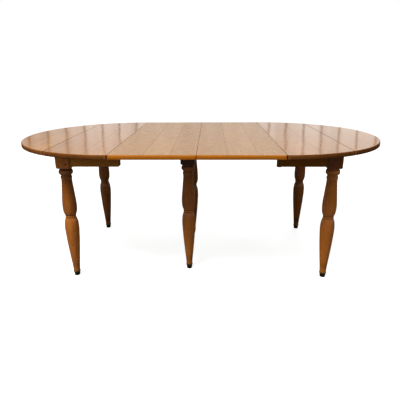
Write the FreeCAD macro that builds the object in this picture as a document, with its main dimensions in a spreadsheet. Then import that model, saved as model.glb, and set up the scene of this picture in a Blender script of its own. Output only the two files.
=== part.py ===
import FreeCAD, Part
import math
import operator
import os
from types import SimpleNamespace

import Sketcher

# Extending table. A round top is cut in two, two leaves lie between the halves, and the ends fold down.
# Millimetres, +Z up. The origin is on the floor under the middle of the table as it stands extended.
# +X runs along the table, and its front faces -Y.

SIZES = {
    # Top boards: the round top's radius, the share of it where a folding end starts, and a leaf's width
    "topRadius": 600,
    "seamShare": 0.5383,
    "leafWidth": 400,
    "topHeight": 730,
    "topThickness": 22,
    "boardGap": 0.8,
    "leafClearance": 0.4,
    "halfBevel": 3,
    "leafNosing": 7,
    "underBevel": 1.5,
    "seamEase": 0.8,
    "cornerEase": 2,
    # Legs: a square block over a turned shaft, and where the legs stand across the round top
    "legBlock": 77,
    "blockHeight": 91.5,
    "blockChamfer": 8,
    "pommelBevel": 4,
    "legInset": 1.5,
    "legLineShare": 0.5883,
    "centreLegInset": 90,
    "trestleShift": 57,
    "trestleDrop": 0.4,
    # Ferrules: a brass cup with a rim, over a spigot at the foot of the leg
    "ferruleHeight": 30,
    "ferruleRim": 18.5,
    "rimHeight": 8,
    "rimBevel": 2,
    "cupRadius": 16.5,
    "footRadius": 14.5,
    "footBevel": 3,
    "ferruleFloor": 8,
    "spigotRadius": 13,
    "fitGap": 0.05,
    # Rails, their tenons and pegs
    "railHeight": 82.5,
    "railThickness": 28,
    "railSetback": 9,
    "railBevel": 2,
    "tenonThickness": 10,
    "tenonLength": 44,
    "tenonLow": 3,
    "tenonHigh": 12,
    "mortiseEnd": 1,
    "glueGap": 0.1,
    "pegRadius": 4,
    "pegInset": 21.5,
    "pegLow": 14,
    "pegHigh": 60,
    "pegBeyond": 10,
    "pegProud": 0.4,
    # Blocks behind the free ends of the side rails
    "endBlockLength": 22,
    "endBlockWidth": 25,
    "endBlockBevel": 4,
    "leftBlockDrop": 1,
    "rightBlockDrop": 9,
    # Telescoping runners: three side by side, with a dovetail groove in each facing side. They start at a
    # share of the leaf's width, and stay clear of the centre legs.
    "runnerStartShare": 0.3,
    "runnerMargin": 13.7,
    "runnerWidth": 30,
    "runnerHeight": 52,
    "runnerGap": 0.4,
    "grooveMouth": 12,
    "grooveFloor": 18,
    "grooveDepth": 8,
    "keyLength": 36,
    "slideClearance": 0.45,
    "stubLength": 12,
    "stubWidth": 14,
    "stubHeight": 34,
    # Cross beam between the centre legs
    "beamWidth": 60,
    "beamRise": 3.5,
    "beamTenon": 14,
    "beamTenonLength": 38,
    "beamShoulder": 5,
    "beamPegInset": 19,
    # Wooden buttons that hold the top to the rails, and their places as shares of a rail's free length
    "buttonLength": 45,
    "buttonWidth": 30,
    "buttonThickness": 20,
    "tongueLow": 2,
    "tongueThickness": 8,
    "tongueLength": 10,
    "slotGap": 0.5,
    "nearButtonShare": 0.25,
    "farButtonShare": 0.74,
    "endButtonShare": 0.58,
    # Screws under the top and the leaves
    "screwRadius": 2,
    "screwHead": 4,
    "headThickness": 2,
    "screwLength": 32,
    # Battens under the leaves
    "battenLength": 330,
    "battenWidth": 35,
    "battenThickness": 20,
    "battenBevel": 8,
    "battenMargin": 10.5,
    "battenScrewInset": 60,
    # Bearers that pull out under the folding ends, and their guides
    "bearerInset": 88,
    "bearerWidth": 40,
    "bearerHeight": 30,
    "bearerLength": 250,
    "bearerProud": 4.5,
    "bearerGap": 0.5,
    "bearerBevel": 4,
    "heelLength": 16,
    "heelDrop": 10,
    "guideLength": 39,
    "guideCheek": 12,
    "guideFloor": 10,
    # Hinges of the folding ends
    "hingeInset": 60,
    "hingeLength": 60,
    "hingeWidth": 30,
    "plateThickness": 2.2,
    "recessDepth": 2.5,
    "barrelRadius": 4,
    "pinRadius": 2,
    "pinGap": 0.05,
    "knuckleShare": 0.33,
    "knuckleGap": 0.4,
    "reliefGap": 0.6,
    "recessGap": 0.4,
    # Overrun of a cut past the face that it opens
    "overrun": 1,
}

# The turned shaft, from the block down to the ferrule: how far down as a share of the shaft's height, and
# the radius as a share of half the block's width.
SHAFT_SHARES = [
    (0.000, 0.818),  # neck under the block
    (0.019, 0.826),
    (0.028, 0.925),  # collar
    (0.045, 0.930),
    (0.0665, 0.706),  # cove
    (0.085, 0.760),  # small bead
    (0.105, 0.701),  # long neck
    (0.292, 0.917),  # upper bulb
    (0.352, 0.958),
    (0.390, 0.927),
    (0.422, 0.831),
    (0.4415, 0.706),  # waist, with a bead between two quirks
    (0.449, 0.738),
    (0.457, 0.706),
    (0.512, 0.919),  # lower bulb
    (0.557, 0.961),
    (0.6265, 0.917),
    (0.870, 0.610),  # ankle
    (1.000, 0.442),
]
# Flats that draw the round of a turned piece, a peg, a hinge barrel and a screw
TURNED_FLAT_COUNT = 16
PEG_FLAT_COUNT = 8
BARREL_FLAT_COUNT = 8
SCREW_FLAT_COUNT = 6

OPERATIONS = {"+": operator.add, "-": operator.sub, "*": operator.mul, "/": operator.truediv}
# Which way the normal of each plane runs along the axis that it crosses
NORMALS = {"XY_Plane": 1, "XZ_Plane": -1, "YZ_Plane": 1}
NEAR = 1e-4
HALF_TURN = 180
QUARTER_TURN = 90

Vector = FreeCAD.Vector
Rotation = FreeCAD.Rotation
Z_AXIS = Vector(0, 0, 1)
UPRIGHT = Rotation()
ROUND = Rotation(Z_AXIS, HALF_TURN)

doc = FreeCAD.newDocument("ExtendingTable")
sheet = doc.addObject("Spreadsheet::Sheet", "Dims")
for row, (alias, number) in enumerate(SIZES.items(), start=1):
    sheet.set(f"A{row}", alias)
    sheet.set(f"B{row}", str(number))
    sheet.setAlias(f"B{row}", alias)
doc.recompute()


class Size:
    # A size of the sheet, or one worked out from some: its value now and the formula that binds it.
    def __init__(self, value, formula):
        self.value = value
        self.formula = formula

    def __add__(self, other):
        return combined(self, "+", other)

    def __radd__(self, other):
        return combined(other, "+", self)

    def __sub__(self, other):
        return combined(self, "-", other)

    def __rsub__(self, other):
        return combined(other, "-", self)

    def __mul__(self, other):
        return combined(self, "*", other)

    def __rmul__(self, other):
        return combined(other, "*", self)

    def __truediv__(self, other):
        return combined(self, "/", other)

    def __neg__(self):
        return combined(0, "-", self)


def asSize(thing):
    return thing if isinstance(thing, Size) else Size(thing, str(thing))


def combined(left, sign, right):
    left, right = asSize(left), asSize(right)
    value = OPERATIONS[sign](left.value, right.value)
    return Size(value, f"({left.formula} {sign} {right.formula})")


def root(size):
    return Size(math.sqrt(size.value), f"sqrt({size.formula})")


def bind(thing, prop, size):
    if isinstance(size, Size):
        thing.setExpression(prop, size.formula)


# Each size of the sheet by its name
d = SimpleNamespace(**{alias: Size(sheet.get(alias), f"Dims.{alias}") for alias in SIZES})


def roundEdge(x):
    # How far from the middle line the round edge is, at x from the centre of the round.
    return root(d.topRadius * d.topRadius - x * x)


# Places that several pieces share
d.underside = d.topHeight - d.topThickness
d.flapSeam = d.topRadius * d.seamShare
d.blockHalf = d.legBlock / 2
d.blockBottom = d.underside - d.blockHeight
d.shaftHeight = d.blockBottom - d.ferruleHeight
d.legAxis = d.leafWidth + d.flapSeam - d.legInset - d.blockHalf
d.legLine = d.topRadius * d.legLineShare
d.centreLegLine = d.legLine - d.centreLegInset
d.railBottom = d.underside - d.railHeight
d.railHalf = d.railThickness / 2
d.railOffset = d.blockHalf - d.railSetback - d.railHalf
d.railLine = d.legLine + d.railOffset
d.endRailLine = d.legAxis + d.railOffset
d.endRailInner = d.endRailLine - d.railHalf
d.halfInner = d.leafWidth + d.boardGap / 2
d.seamLine = d.leafWidth + d.flapSeam
d.tenonTop = d.railHeight - d.tenonHigh
d.pegLength = d.blockHalf - d.railOffset + d.tenonThickness / 2 + d.pegBeyond
d.runnerHalf = d.runnerWidth / 2
d.runnerPitch = d.runnerWidth + d.runnerGap
d.outerRunnerLine = d.centreLegLine - d.blockHalf - d.runnerMargin - d.runnerHalf
d.middleRunnerLine = d.outerRunnerLine - d.runnerPitch
d.innerRunnerLine = d.middleRunnerLine - d.runnerPitch
d.runnerBottom = d.underside - d.runnerHeight
d.groovePart = (d.grooveFloor - d.grooveMouth) / 2
d.runnerStart = d.leafWidth * d.runnerStartShare
d.runnerLength = d.endRailInner - d.runnerStart
d.buttonBottom = d.underside - d.buttonThickness
d.tongueBottom = d.buttonBottom + d.tongueLow - d.railBottom
d.railLength = d.legAxis - d.blockHalf - d.halfInner
d.nearButton = d.railLength * d.nearButtonShare
d.farButton = d.railLength * d.farButtonShare
d.endButton = (d.innerRunnerLine - d.runnerHalf) * d.endButtonShare
d.battenLine = d.centreLegLine + d.blockHalf + d.battenMargin + d.battenWidth / 2
d.bearerLine = d.legLine - d.bearerInset
d.bearerBottom = d.underside - d.bearerGap - d.bearerHeight
d.hingeLine = roundEdge(d.flapSeam) - d.hingeInset
d.beamBottom = d.blockBottom + d.beamRise
d.beamHeight = d.runnerBottom - d.trestleDrop - d.beamBottom
d.beamHalf = d.centreLegLine - d.blockHalf
d.beamPegLength = d.blockHalf + d.beamTenon / 2 + d.pegBeyond

nodes = []


def newBody(name):
    body = doc.addObject("PartDesign::Body", name)
    body.Label = name
    return body


def asNode(thing):
    nodes.append(thing)
    return thing


def place(thing, x, y, z, turn=UPRIGHT):
    thing.Placement = FreeCAD.Placement(Vector(), turn)
    for axis, size in (("x", x), ("y", y), ("z", z)):
        bind(thing, f"Placement.Base.{axis}", size)
    return thing


def copyOf(form, name, x, y, z, turn=UPRIGHT):
    copy = doc.addObject("App::Link", name)
    copy.LinkedObject = form
    return place(copy, x, y, z, turn)


def groupOf(name, things):
    group = doc.addObject("Part::Compound", name)
    group.Label = name
    group.Links = things
    return asNode(group)


def rectangle(left, right, low, high):
    return [(left, low), (right, low), (right, high), (left, high)]


def rounded(x, y, radius, flats):
    # A round drawn with flats, with corners on the lines through its centre.
    angles = [2 * math.pi * step / flats for step in range(flats)]
    return [(x + radius * math.cos(angle), y + radius * math.sin(angle)) for angle in angles]


def holeRound(x, y, radius, flats):
    # Its flats clear a pin of that radius, however the pin is turned.
    return rounded(x, y, radius / math.cos(math.pi / flats), flats)


def pins(geometry, point, x, y):
    # Holds a point at x and y, or on the axis where one of them is nought.
    held = []
    for kind, size, axis in (("DistanceX", x, -2), ("DistanceY", y, -1)):
        if isinstance(size, Size):
            held.append((Sketcher.Constraint(kind, geometry, point, size.value), size))
        else:
            held.append((Sketcher.Constraint("PointOnObject", geometry, point, axis), None))
    return held


def constrain(sketch, held):
    first = sketch.ConstraintCount
    sketch.addConstraint([constraint for constraint, size in held])
    for number, (constraint, size) in enumerate(held, start=first):
        bind(sketch, f"Constraints[{number}]", size)


def drawOutline(sketch, corners):
    # Each corner is x and y, and a radius where the side that starts there is an arc: the outline runs
    # counter-clockwise, a positive radius arches outwards and a negative one inwards.
    held = []
    ends = []
    first = sketch.GeometryCount
    for corner, following in zip(corners, corners[1:] + corners[:1]):
        start, end = [Vector(asSize(c[0]).value, asSize(c[1]).value, 0) for c in (corner, following)]
        bow = corner[2] if len(corner) > 2 else None
        if bow is None:
            made = sketch.addGeometry(Part.LineSegment(start, end), False)
            ends.append((1, 2))
            continue
        chord = end - start
        out = Vector(chord.y, -chord.x, 0).normalize()
        radius = abs(bow.value)
        rise = radius - math.sqrt(radius**2 - chord.Length**2 / 4)
        middle = (start + end) / 2 + out * math.copysign(rise, bow.value)
        points = (start, middle, end) if bow.value > 0 else (end, middle, start)
        made = sketch.addGeometry(Part.Arc(*points), False)
        ends.append((1, 2) if bow.value > 0 else (2, 1))
        held.append((Sketcher.Constraint("Radius", made, radius), bow if bow.value > 0 else -bow))
    count = len(corners)
    for i, (corner, (start, end)) in enumerate(zip(corners, ends)):
        held += pins(first + i, start, corner[0], corner[1])
        following = (i + 1) % count
        joined = Sketcher.Constraint("Coincident", first + i, end, first + following, ends[following][0])
        held.append((joined, None))
    constrain(sketch, held)


def sketchOn(body, plane, along, loops):
    sketch = body.newObject("Sketcher::SketchObject", body.Label + "_sketch")
    support = [feature for feature in body.Origin.OriginFeatures if feature.Role == plane]
    sketch.AttachmentSupport = (support[0], [""])
    sketch.MapMode = "FlatFace"
    if along:
        bind(sketch, "AttachmentOffset.Base.z", NORMALS[plane] * along)
    for corners in loops:
        drawOutline(sketch, corners)
    return sketch


def extrude(body, kind, plane, start, toward, length, loops):
    # A pad or a pocket from a plane at start, toward +1 or -1 along the axis that the plane crosses.
    sketch = sketchOn(body, plane, start, loops)
    feature = body.newObject(f"PartDesign::{kind}", f"{body.Label}_{kind.lower()}")
    feature.Profile = sketch
    along = NORMALS[plane] * toward > 0
    feature.Reversed = along if kind == "Pocket" else not along
    bind(feature, "Length", length)
    sketch.Visibility = False
    return feature


def turned(name, flats, rings):
    # A form on the upright axis, drawn with flats: what its outline has in common with itself as it is
    # turned about the axis. Each ring is a radius and a height, from the top down.
    inside = [(radius * math.cos(math.pi / flats), height) for radius, height in rings]
    outline = [(-x, z) for x, z in inside] + [(x, z) for x, z in reversed(inside)]
    slab = newBody(name + "_outline")
    extrude(slab, "Pad", "XZ_Plane", -d.blockHalf, 1, d.legBlock, [outline])
    turns = [Rotation(Z_AXIS, HALF_TURN * (2 * step + 1) / flats) for step in range(flats // 2)]
    form = doc.addObject("Part::MultiCommon", name)
    form.Shapes = [copyOf(slab, name + "_turn", 0, 0, 0, turn) for turn in turns]
    return form


def post(name, radius, flats, low, high):
    # A straight form with flats, on the upright axis.
    form = newBody(name)
    extrude(form, "Pad", "XY_Plane", low, 1, high - low, [rounded(0, 0, radius, flats)])
    return form


def joined(name, things):
    whole = doc.addObject("Part::MultiFuse", name)
    whole.Label = name
    whole.Shapes = things
    return whole


def eased(body, kind, size, wanted):
    # A fillet or a chamfer on the edges of the body's last feature that wanted picks by their box.
    doc.recompute()
    base = body.Tip
    names = [f"Edge{i}" for i, edge in enumerate(base.Shape.Edges, start=1) if wanted(edge.BoundBox)]
    feature = body.newObject(f"PartDesign::{kind}", f"{body.Label}_{kind.lower()}")
    feature.Base = (base, names)
    bind(feature, "Radius" if kind == "Fillet" else "Size", size)
    return feature


def near(a, b):
    return abs(a - asSize(b).value) < NEAR


def upright(box):
    return box.XLength < NEAR and box.YLength < NEAR


def level(box, z):
    return near(box.ZMin, z) and near(box.ZMax, z)


# Legs


def turningForm():
    # The shaft, and the spigot under it that the ferrule covers.
    rings = [(d.blockHalf * out, d.blockBottom - d.shaftHeight * down) for down, out in SHAFT_SHARES]
    low = d.ferruleFloor + d.fitGap
    spigot = post("spigot_form", d.spigotRadius - d.fitGap, PEG_FLAT_COUNT, low, d.ferruleHeight)
    return joined("turning_form", [turned("shaft_form", TURNED_FLAT_COUNT, rings), spigot])


def blockOf(name, drop):
    # drop: how far the top of the block stays below the underside of the boards
    block = newBody(name + "_block")
    square = rectangle(-d.blockHalf, d.blockHalf, -d.blockHalf, d.blockHalf)
    extrude(block, "Pad", "XY_Plane", d.blockBottom, 1, d.blockHeight - drop, [square])
    eased(block, "Chamfer", d.blockChamfer, upright)
    eased(block, "Chamfer", d.pommelBevel, lambda box: level(box, d.blockBottom))
    return block


def legOf(name, block):
    return joined(name, [block, copyOf(turning, name + "_turning", 0, 0, 0)])


def mortise(block, plane, face, toward, across, thickness, low, high, depth):
    half = thickness / 2 + d.glueGap
    hole = rectangle(across - half, across + half, low - d.glueGap, high + d.glueGap)
    extrude(block, "Pocket", plane, face, toward, depth, [hole])


def pegHoles(block, plane, face, toward, across, heights, depth):
    holes = [rounded(across, height, d.pegRadius + d.fitGap, PEG_FLAT_COUNT) for height in heights]
    extrude(block, "Pocket", plane, face, toward, depth + d.fitGap, holes)


def cornerLeg(name, back):
    # back is +1 or -1: the way from the middle of the table to this leg, across the half.
    block = blockOf(name, 0)
    low, high = d.railBottom + d.tenonLow, d.railBottom + d.tenonTop
    depth = d.tenonLength + d.mortiseEnd
    heights = [d.railBottom + d.pegLow, d.railBottom + d.pegHigh]
    inset = d.blockHalf - d.pegInset
    mortise(block, "YZ_Plane", -d.blockHalf, 1, back * d.railOffset, d.tenonThickness, low, high, depth)
    mortise(block, "XZ_Plane", -back * d.blockHalf, back, d.railOffset, d.tenonThickness, low, high, depth)
    pegHoles(block, "XZ_Plane", back * d.blockHalf, -back, -inset, heights, d.pegLength)
    pegHoles(block, "YZ_Plane", d.blockHalf, -1, -back * inset, heights, d.pegLength)
    return legOf(name, block)


def centreLeg(name, back):
    block = blockOf(name, d.trestleDrop)
    low = d.beamBottom + d.beamShoulder
    high = d.beamBottom + d.beamHeight - d.beamShoulder
    depth = d.beamTenonLength + d.mortiseEnd
    mortise(block, "XZ_Plane", -back * d.blockHalf, back, 0, d.beamTenon, low, high, depth)
    across = -back * (d.blockHalf - d.beamPegInset)
    middle = d.beamBottom + d.beamHeight / 2
    pegHoles(block, "YZ_Plane", d.blockHalf, -1, across, [middle], d.beamPegLength)
    return legOf(name, block)


def ferruleForm():
    shoulder = d.ferruleHeight - d.rimHeight
    form = doc.addObject("Part::Cut", "ferrule_form")
    form.Base = turned("cup_form", TURNED_FLAT_COUNT, [
        (d.ferruleRim, d.ferruleHeight),
        (d.ferruleRim, shoulder + d.rimBevel),
        (d.cupRadius, shoulder),
        (d.footRadius, d.footBevel),
        (d.footRadius - d.footBevel, 0),
    ])
    top = d.ferruleHeight + d.overrun
    form.Tool = post("socket_form", d.spigotRadius, PEG_FLAT_COUNT, d.ferruleFloor, top)
    return form


# Rails, pegs and blocks


def sideRail(name, back):
    # Runs along X from its free end; its outer face is toward back.
    rail = newBody(name)
    length = d.railLength
    extrude(rail, "Pad", "YZ_Plane", 0, 1, length, [rectangle(-d.railHalf, d.railHalf, 0, d.railHeight)])
    half = d.tenonThickness / 2
    tenon = rectangle(-half, half, d.tenonLow, d.tenonTop)
    extrude(rail, "Pad", "YZ_Plane", length, 1, d.tenonLength, [tenon])
    inner = -back * d.railHalf
    reach = d.buttonLength / 2 + d.slotGap
    low, high = d.tongueBottom - d.slotGap, d.tongueBottom + d.tongueThickness + d.slotGap
    slots = [rectangle(x - reach, x + reach, low, high) for x in (d.nearButton, d.farButton)]
    extrude(rail, "Pocket", "XZ_Plane", inner, back, d.tongueLength + d.slotGap, slots)
    radius = d.pegRadius + d.fitGap
    holes = [rounded(length + d.pegInset, z, radius, PEG_FLAT_COUNT) for z in (d.pegLow, d.pegHigh)]
    extrude(rail, "Pocket", "XZ_Plane", -d.railHalf, 1, d.railThickness, holes)
    eased(rail, "Chamfer", d.railBevel, lambda box: level(box, 0) and box.YLength < NEAR)
    return rail


def endRail(name, runnerLine):
    # Runs along Y between the corner legs; its outer face is toward +X.
    rail = newBody(name)
    halfLength = d.legLine - d.blockHalf
    section = rectangle(-d.railHalf, d.railHalf, 0, d.railHeight)
    extrude(rail, "Pad", "XZ_Plane", -halfLength, 1, halfLength * 2, [section])
    half = d.tenonThickness / 2
    for end in (-1, 1):
        tenon = rectangle(-half, half, d.tenonLow, d.tenonTop)
        extrude(rail, "Pad", "XZ_Plane", end * halfLength, end, d.tenonLength, [tenon])
    gate = d.bearerWidth / 2 + d.bearerGap
    gateLow = d.bearerBottom - d.bearerGap - d.railBottom
    slot = d.buttonLength / 2 + d.slotGap
    slotLow, slotHigh = d.tongueBottom - d.slotGap, d.tongueBottom + d.tongueThickness + d.slotGap
    stub = d.stubWidth / 2 + d.glueGap
    stubLow = d.runnerBottom - d.railBottom + (d.runnerHeight - d.stubHeight) / 2 - d.glueGap
    stubHigh = stubLow + d.stubHeight + d.glueGap * 2
    pegAt = halfLength + d.pegInset
    gates, slots, housings, holes = [], [], [], []
    for sign in (-1, 1):
        y = sign * d.bearerLine
        gates.append(rectangle(y - gate, y + gate, gateLow, d.railHeight + d.overrun))
        y = sign * d.endButton
        slots.append(rectangle(y - slot, y + slot, slotLow, slotHigh))
        y = sign * runnerLine
        housings.append(rectangle(y - stub, y + stub, stubLow, stubHigh))
        for z in (d.pegLow, d.pegHigh):
            holes.append(rounded(sign * pegAt, z, d.pegRadius + d.fitGap, PEG_FLAT_COUNT))
    extrude(rail, "Pocket", "YZ_Plane", -d.railHalf, 1, d.railThickness, gates)
    extrude(rail, "Pocket", "YZ_Plane", -d.railHalf, 1, d.tongueLength + d.slotGap, slots)
    extrude(rail, "Pocket", "YZ_Plane", -d.railHalf, 1, d.stubLength + d.slotGap, housings)
    extrude(rail, "Pocket", "YZ_Plane", -d.railHalf, 1, d.railThickness, holes)
    eased(rail, "Chamfer", d.railBevel, lambda box: level(box, 0) and box.XLength < NEAR)
    return rail


def pegForm(name, length):
    # Lies along its own Z, and its visible end stands a little proud.
    return post(name, d.pegRadius, PEG_FLAT_COUNT, -d.pegProud, length)


def endBlock(name, drop):
    block = newBody(name)
    across = rectangle(0, d.endBlockLength, -drop, d.railHeight)
    extrude(block, "Pad", "XZ_Plane", -d.endBlockWidth / 2, 1, d.endBlockWidth, [across])
    low = -drop
    eased(block, "Chamfer", d.endBlockBevel, lambda box: level(box, low) and box.XLength < NEAR)
    return block


# Telescoping runners


def grooveCorners(side):
    # The dovetail groove in the face at side +1 or -1 of a runner, from its lower lip to its upper lip.
    middle = d.runnerHeight / 2
    floor = d.runnerHalf - d.grooveDepth
    return [
        (side * d.runnerHalf, middle - d.grooveMouth / 2),
        (side * floor, middle - d.grooveFloor / 2),
        (side * floor, middle + d.grooveFloor / 2),
        (side * d.runnerHalf, middle + d.grooveMouth / 2),
    ]


def runnerSection(sides, low, high):
    corners = [(-d.runnerHalf, low), (d.runnerHalf, low)]
    if 1 in sides:
        corners += grooveCorners(1)
    corners += [(d.runnerHalf, high), (-d.runnerHalf, high)]
    if -1 in sides:
        corners += reversed(grooveCorners(-1))
    return corners


def outerRunner(name, side):
    # Runs along X from its free end to the end rail, grooved on the face toward the middle runner.
    runner = newBody(name)
    extrude(runner, "Pad", "YZ_Plane", 0, 1, d.runnerLength, [runnerSection([side], 0, d.runnerHeight)])
    half, low = d.stubWidth / 2, (d.runnerHeight - d.stubHeight) / 2
    stub = rectangle(-half, half, low, low + d.stubHeight)
    extrude(runner, "Pad", "YZ_Plane", d.runnerLength, 1, d.stubLength, [stub])
    return runner


def middleRunner(name):
    # It stands a little below the outer runners, which so pass clear of the beam.
    runner = newBody(name)
    section = runnerSection([1, -1], -d.trestleDrop, d.runnerHeight - d.trestleDrop)
    extrude(runner, "Pad", "YZ_Plane", -d.runnerLength / 2, 1, d.runnerLength, [section])
    return runner


def keyForm():
    # A double dovetail: the half toward -Y is glued in its own runner, the other slides in the next one.
    key = newBody("key_form")
    slope = d.groovePart / d.grooveDepth
    own = d.grooveDepth - d.glueGap
    reach = d.grooveDepth - d.slideClearance
    waist = d.grooveMouth / 2 - d.slideClearance
    ownHalf = d.grooveMouth / 2 + own * slope - d.glueGap
    reachHalf = waist + reach * slope
    section = [
        (-own, -ownHalf),
        (0, -waist),
        (d.runnerGap, -waist),
        (d.runnerGap + reach, -reachHalf),
        (d.runnerGap + reach, reachHalf),
        (d.runnerGap, waist),
        (0, waist),
        (-own, ownHalf),
    ]
    extrude(key, "Pad", "YZ_Plane", -d.keyLength / 2, 1, d.keyLength, [section])
    return key


# Centre trestle


def crossBeam(name):
    beam = newBody(name)
    half = d.beamWidth / 2
    section = rectangle(-half, half, 0, d.beamHeight)
    extrude(beam, "Pad", "XZ_Plane", -d.beamHalf, 1, d.beamHalf * 2, [section])
    half = d.beamTenon / 2
    tenon = rectangle(-half, half, d.beamShoulder, d.beamHeight - d.beamShoulder)
    for end in (-1, 1):
        extrude(beam, "Pad", "XZ_Plane", end * d.beamHalf, end, d.beamTenonLength, [tenon])
    pegAt = d.beamHalf + d.beamPegInset
    radius = d.pegRadius + d.fitGap
    holes = [rounded(sign * pegAt, d.beamHeight / 2, radius, PEG_FLAT_COUNT) for sign in (-1, 1)]
    extrude(beam, "Pocket", "YZ_Plane", -d.beamWidth / 2, 1, d.beamWidth, holes)
    return beam


# Boards


def buttonPlaces(back):
    # The buttons toward back: out, across, and whether the button holds to the end rail.
    sideLine = back * (d.railLine - d.railHalf - d.buttonWidth / 2)
    places = [(d.halfInner + along, sideLine, False) for along in (d.nearButton, d.farButton)]
    return places + [(d.endRailInner - d.buttonWidth / 2, back * d.endButton, True)]


def seatHinges(board, side):
    # Recesses and barrel channels for three hinges on the side of a board at the seam: side is -1 on the
    # half, +1 on the folding end.
    inner = d.flapSeam + side * (d.hingeWidth + d.recessGap)
    reach = d.hingeLength / 2 + d.recessGap
    low, high = -d.hingeLine - reach, -d.hingeLine + reach
    edges = (inner, d.flapSeam) if side < 0 else (d.flapSeam, inner)
    recess = extrude(board, "Pocket", "XY_Plane", 0, 1, d.recessDepth, [rectangle(*edges, low, high)])
    room = d.barrelRadius + d.reliefGap
    channel = rectangle(d.flapSeam - room, d.flapSeam + room, low, high)
    relief = extrude(board, "Pocket", "XY_Plane", 0, 1, room, [channel])
    seats = board.newObject("PartDesign::LinearPattern", board.Label + "_hinge_seats")
    seats.Originals = [recess, relief]
    seats.Direction = (recess.Profile[0], ["V_Axis"])
    bind(seats, "Length", d.hingeLine * 2)
    seats.Occurrences = 3
    board.Tip = seats


def roundBoard(name, corners):
    # A board with straight seams along Y, and its round edges bevelled above and below.
    board = newBody(name)
    top = d.topThickness
    long = d.cornerEase.value * 2
    extrude(board, "Pad", "XY_Plane", 0, 1, top, [corners])
    eased(board, "Chamfer", d.halfBevel, lambda box: level(box, top) and box.XLength > long)
    eased(board, "Chamfer", d.underBevel, lambda box: level(box, 0) and box.XLength > long)
    eased(board, "Chamfer", d.cornerEase, lambda box: upright(box) and near(box.XMin, corners[0][0]))
    eased(board, "Chamfer", d.seamEase, lambda box: level(box, top) and box.XLength < NEAR)
    return board


def halfTop(name):
    inner, outer = d.boardGap / 2, d.flapSeam - d.boardGap / 2
    innerY, outerY = roundEdge(inner), roundEdge(outer)
    board = roundBoard(name, [
        (inner, -innerY, d.topRadius),
        (outer, -outerY),
        (outer, outerY, d.topRadius),
        (inner, innerY),
    ])
    radius = d.screwRadius + d.fitGap
    buttons = [place for back in (-1, 1) for place in buttonPlaces(back)]
    holes = [holeRound(x - d.leafWidth, y, radius, SCREW_FLAT_COUNT) for x, y, toEnd in buttons]
    extrude(board, "Pocket", "XY_Plane", 0, 1, d.screwLength - d.buttonThickness + d.fitGap, holes)
    seatHinges(board, -1)
    return board


def foldingEnd(name):
    edge = d.flapSeam + d.boardGap / 2
    reach = roundEdge(edge)
    board = roundBoard(name, [(edge, -reach, d.topRadius), (edge, reach)])
    seatHinges(board, 1)
    return board


def battenScrewPlaces():
    across = d.battenLength / 2 - d.battenScrewInset
    return [(sx * across, sy * d.battenLine) for sx in (-1, 1) for sy in (-1, 1)]


def leafBoard(name):
    # Lies with its middle on the origin; the front and back edges are nosed.
    board = newBody(name)
    halfWidth = (d.leafWidth - d.boardGap) / 2
    thickness = d.topThickness - d.leafClearance
    plan = rectangle(-halfWidth, halfWidth, -d.topRadius, d.topRadius)
    extrude(board, "Pad", "XY_Plane", 0, 1, thickness, [plan])
    eased(board, "Chamfer", d.cornerEase, upright)
    long = d.leafWidth.value / 2
    eased(board, "Fillet", d.leafNosing, lambda box: level(box, thickness) and box.XLength > long)
    eased(board, "Chamfer", d.underBevel, lambda box: level(box, 0) and box.XLength > long)
    eased(board, "Chamfer", d.seamEase, lambda box: level(box, thickness) and box.YLength > long)
    depth = d.screwLength - d.battenThickness + d.fitGap
    radius = d.screwRadius + d.fitGap
    holes = [holeRound(x, y, radius, SCREW_FLAT_COUNT) for x, y in battenScrewPlaces()]
    extrude(board, "Pocket", "XY_Plane", 0, 1, depth, holes)
    return board


def battenForm():
    batten = newBody("batten_form")
    half = d.battenLength / 2
    side = [
        (-half + d.battenBevel, 0),
        (half - d.battenBevel, 0),
        (half, d.battenBevel),
        (half, d.battenThickness),
        (-half, d.battenThickness),
        (-half, d.battenBevel),
    ]
    extrude(batten, "Pad", "XZ_Plane", -d.battenWidth / 2, 1, d.battenWidth, [side])
    places = [sign * (half - d.battenScrewInset) for sign in (-1, 1)]
    holes = [holeRound(x, 0, d.screwRadius + d.fitGap, SCREW_FLAT_COUNT) for x in places]
    extrude(batten, "Pocket", "XY_Plane", 0, 1, d.battenThickness, holes)
    return batten


# Fixings


def screwForm():
    # Points up its own Z from the bearing face of its head at nought.
    return turned("screw_form", SCREW_FLAT_COUNT, [
        (d.screwRadius, d.screwLength),
        (d.screwRadius, 0),
        (d.screwHead, 0),
        (d.screwHead, -d.headThickness),
    ])


def buttonForm():
    # Its tongue points along +X into the slot of a rail; the screw comes up on its own Z.
    button = newBody("button_form")
    half = d.buttonWidth / 2
    section = [
        (-half, 0),
        (half, 0),
        (half, d.tongueLow),
        (half + d.tongueLength, d.tongueLow),
        (half + d.tongueLength, d.tongueLow + d.tongueThickness),
        (half, d.tongueLow + d.tongueThickness),
        (half, d.buttonThickness),
        (-half, d.buttonThickness),
    ]
    extrude(button, "Pad", "XZ_Plane", -d.buttonLength / 2, 1, d.buttonLength, [section])
    hole = holeRound(0, 0, d.screwRadius + d.fitGap, SCREW_FLAT_COUNT)
    extrude(button, "Pocket", "XY_Plane", 0, 1, d.buttonThickness, [hole])
    return button


# Bearers


def bearer(name):
    # Lies along X with its outer end at nought, and a heel at the inner end that stops it at its guide.
    slide = newBody(name)
    inner = -d.bearerLength
    side = [
        (inner, -d.heelDrop),
        (inner + d.heelLength, -d.heelDrop),
        (inner + d.heelLength, 0),
        (0, 0),
        (0, d.bearerHeight),
        (inner, d.bearerHeight),
    ]
    extrude(slide, "Pad", "XZ_Plane", -d.bearerWidth / 2, 1, d.bearerWidth, [side])
    eased(slide, "Chamfer", d.bearerBevel, lambda box: near(box.XMin, 0) and box.YLength > NEAR)
    return slide


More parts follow.
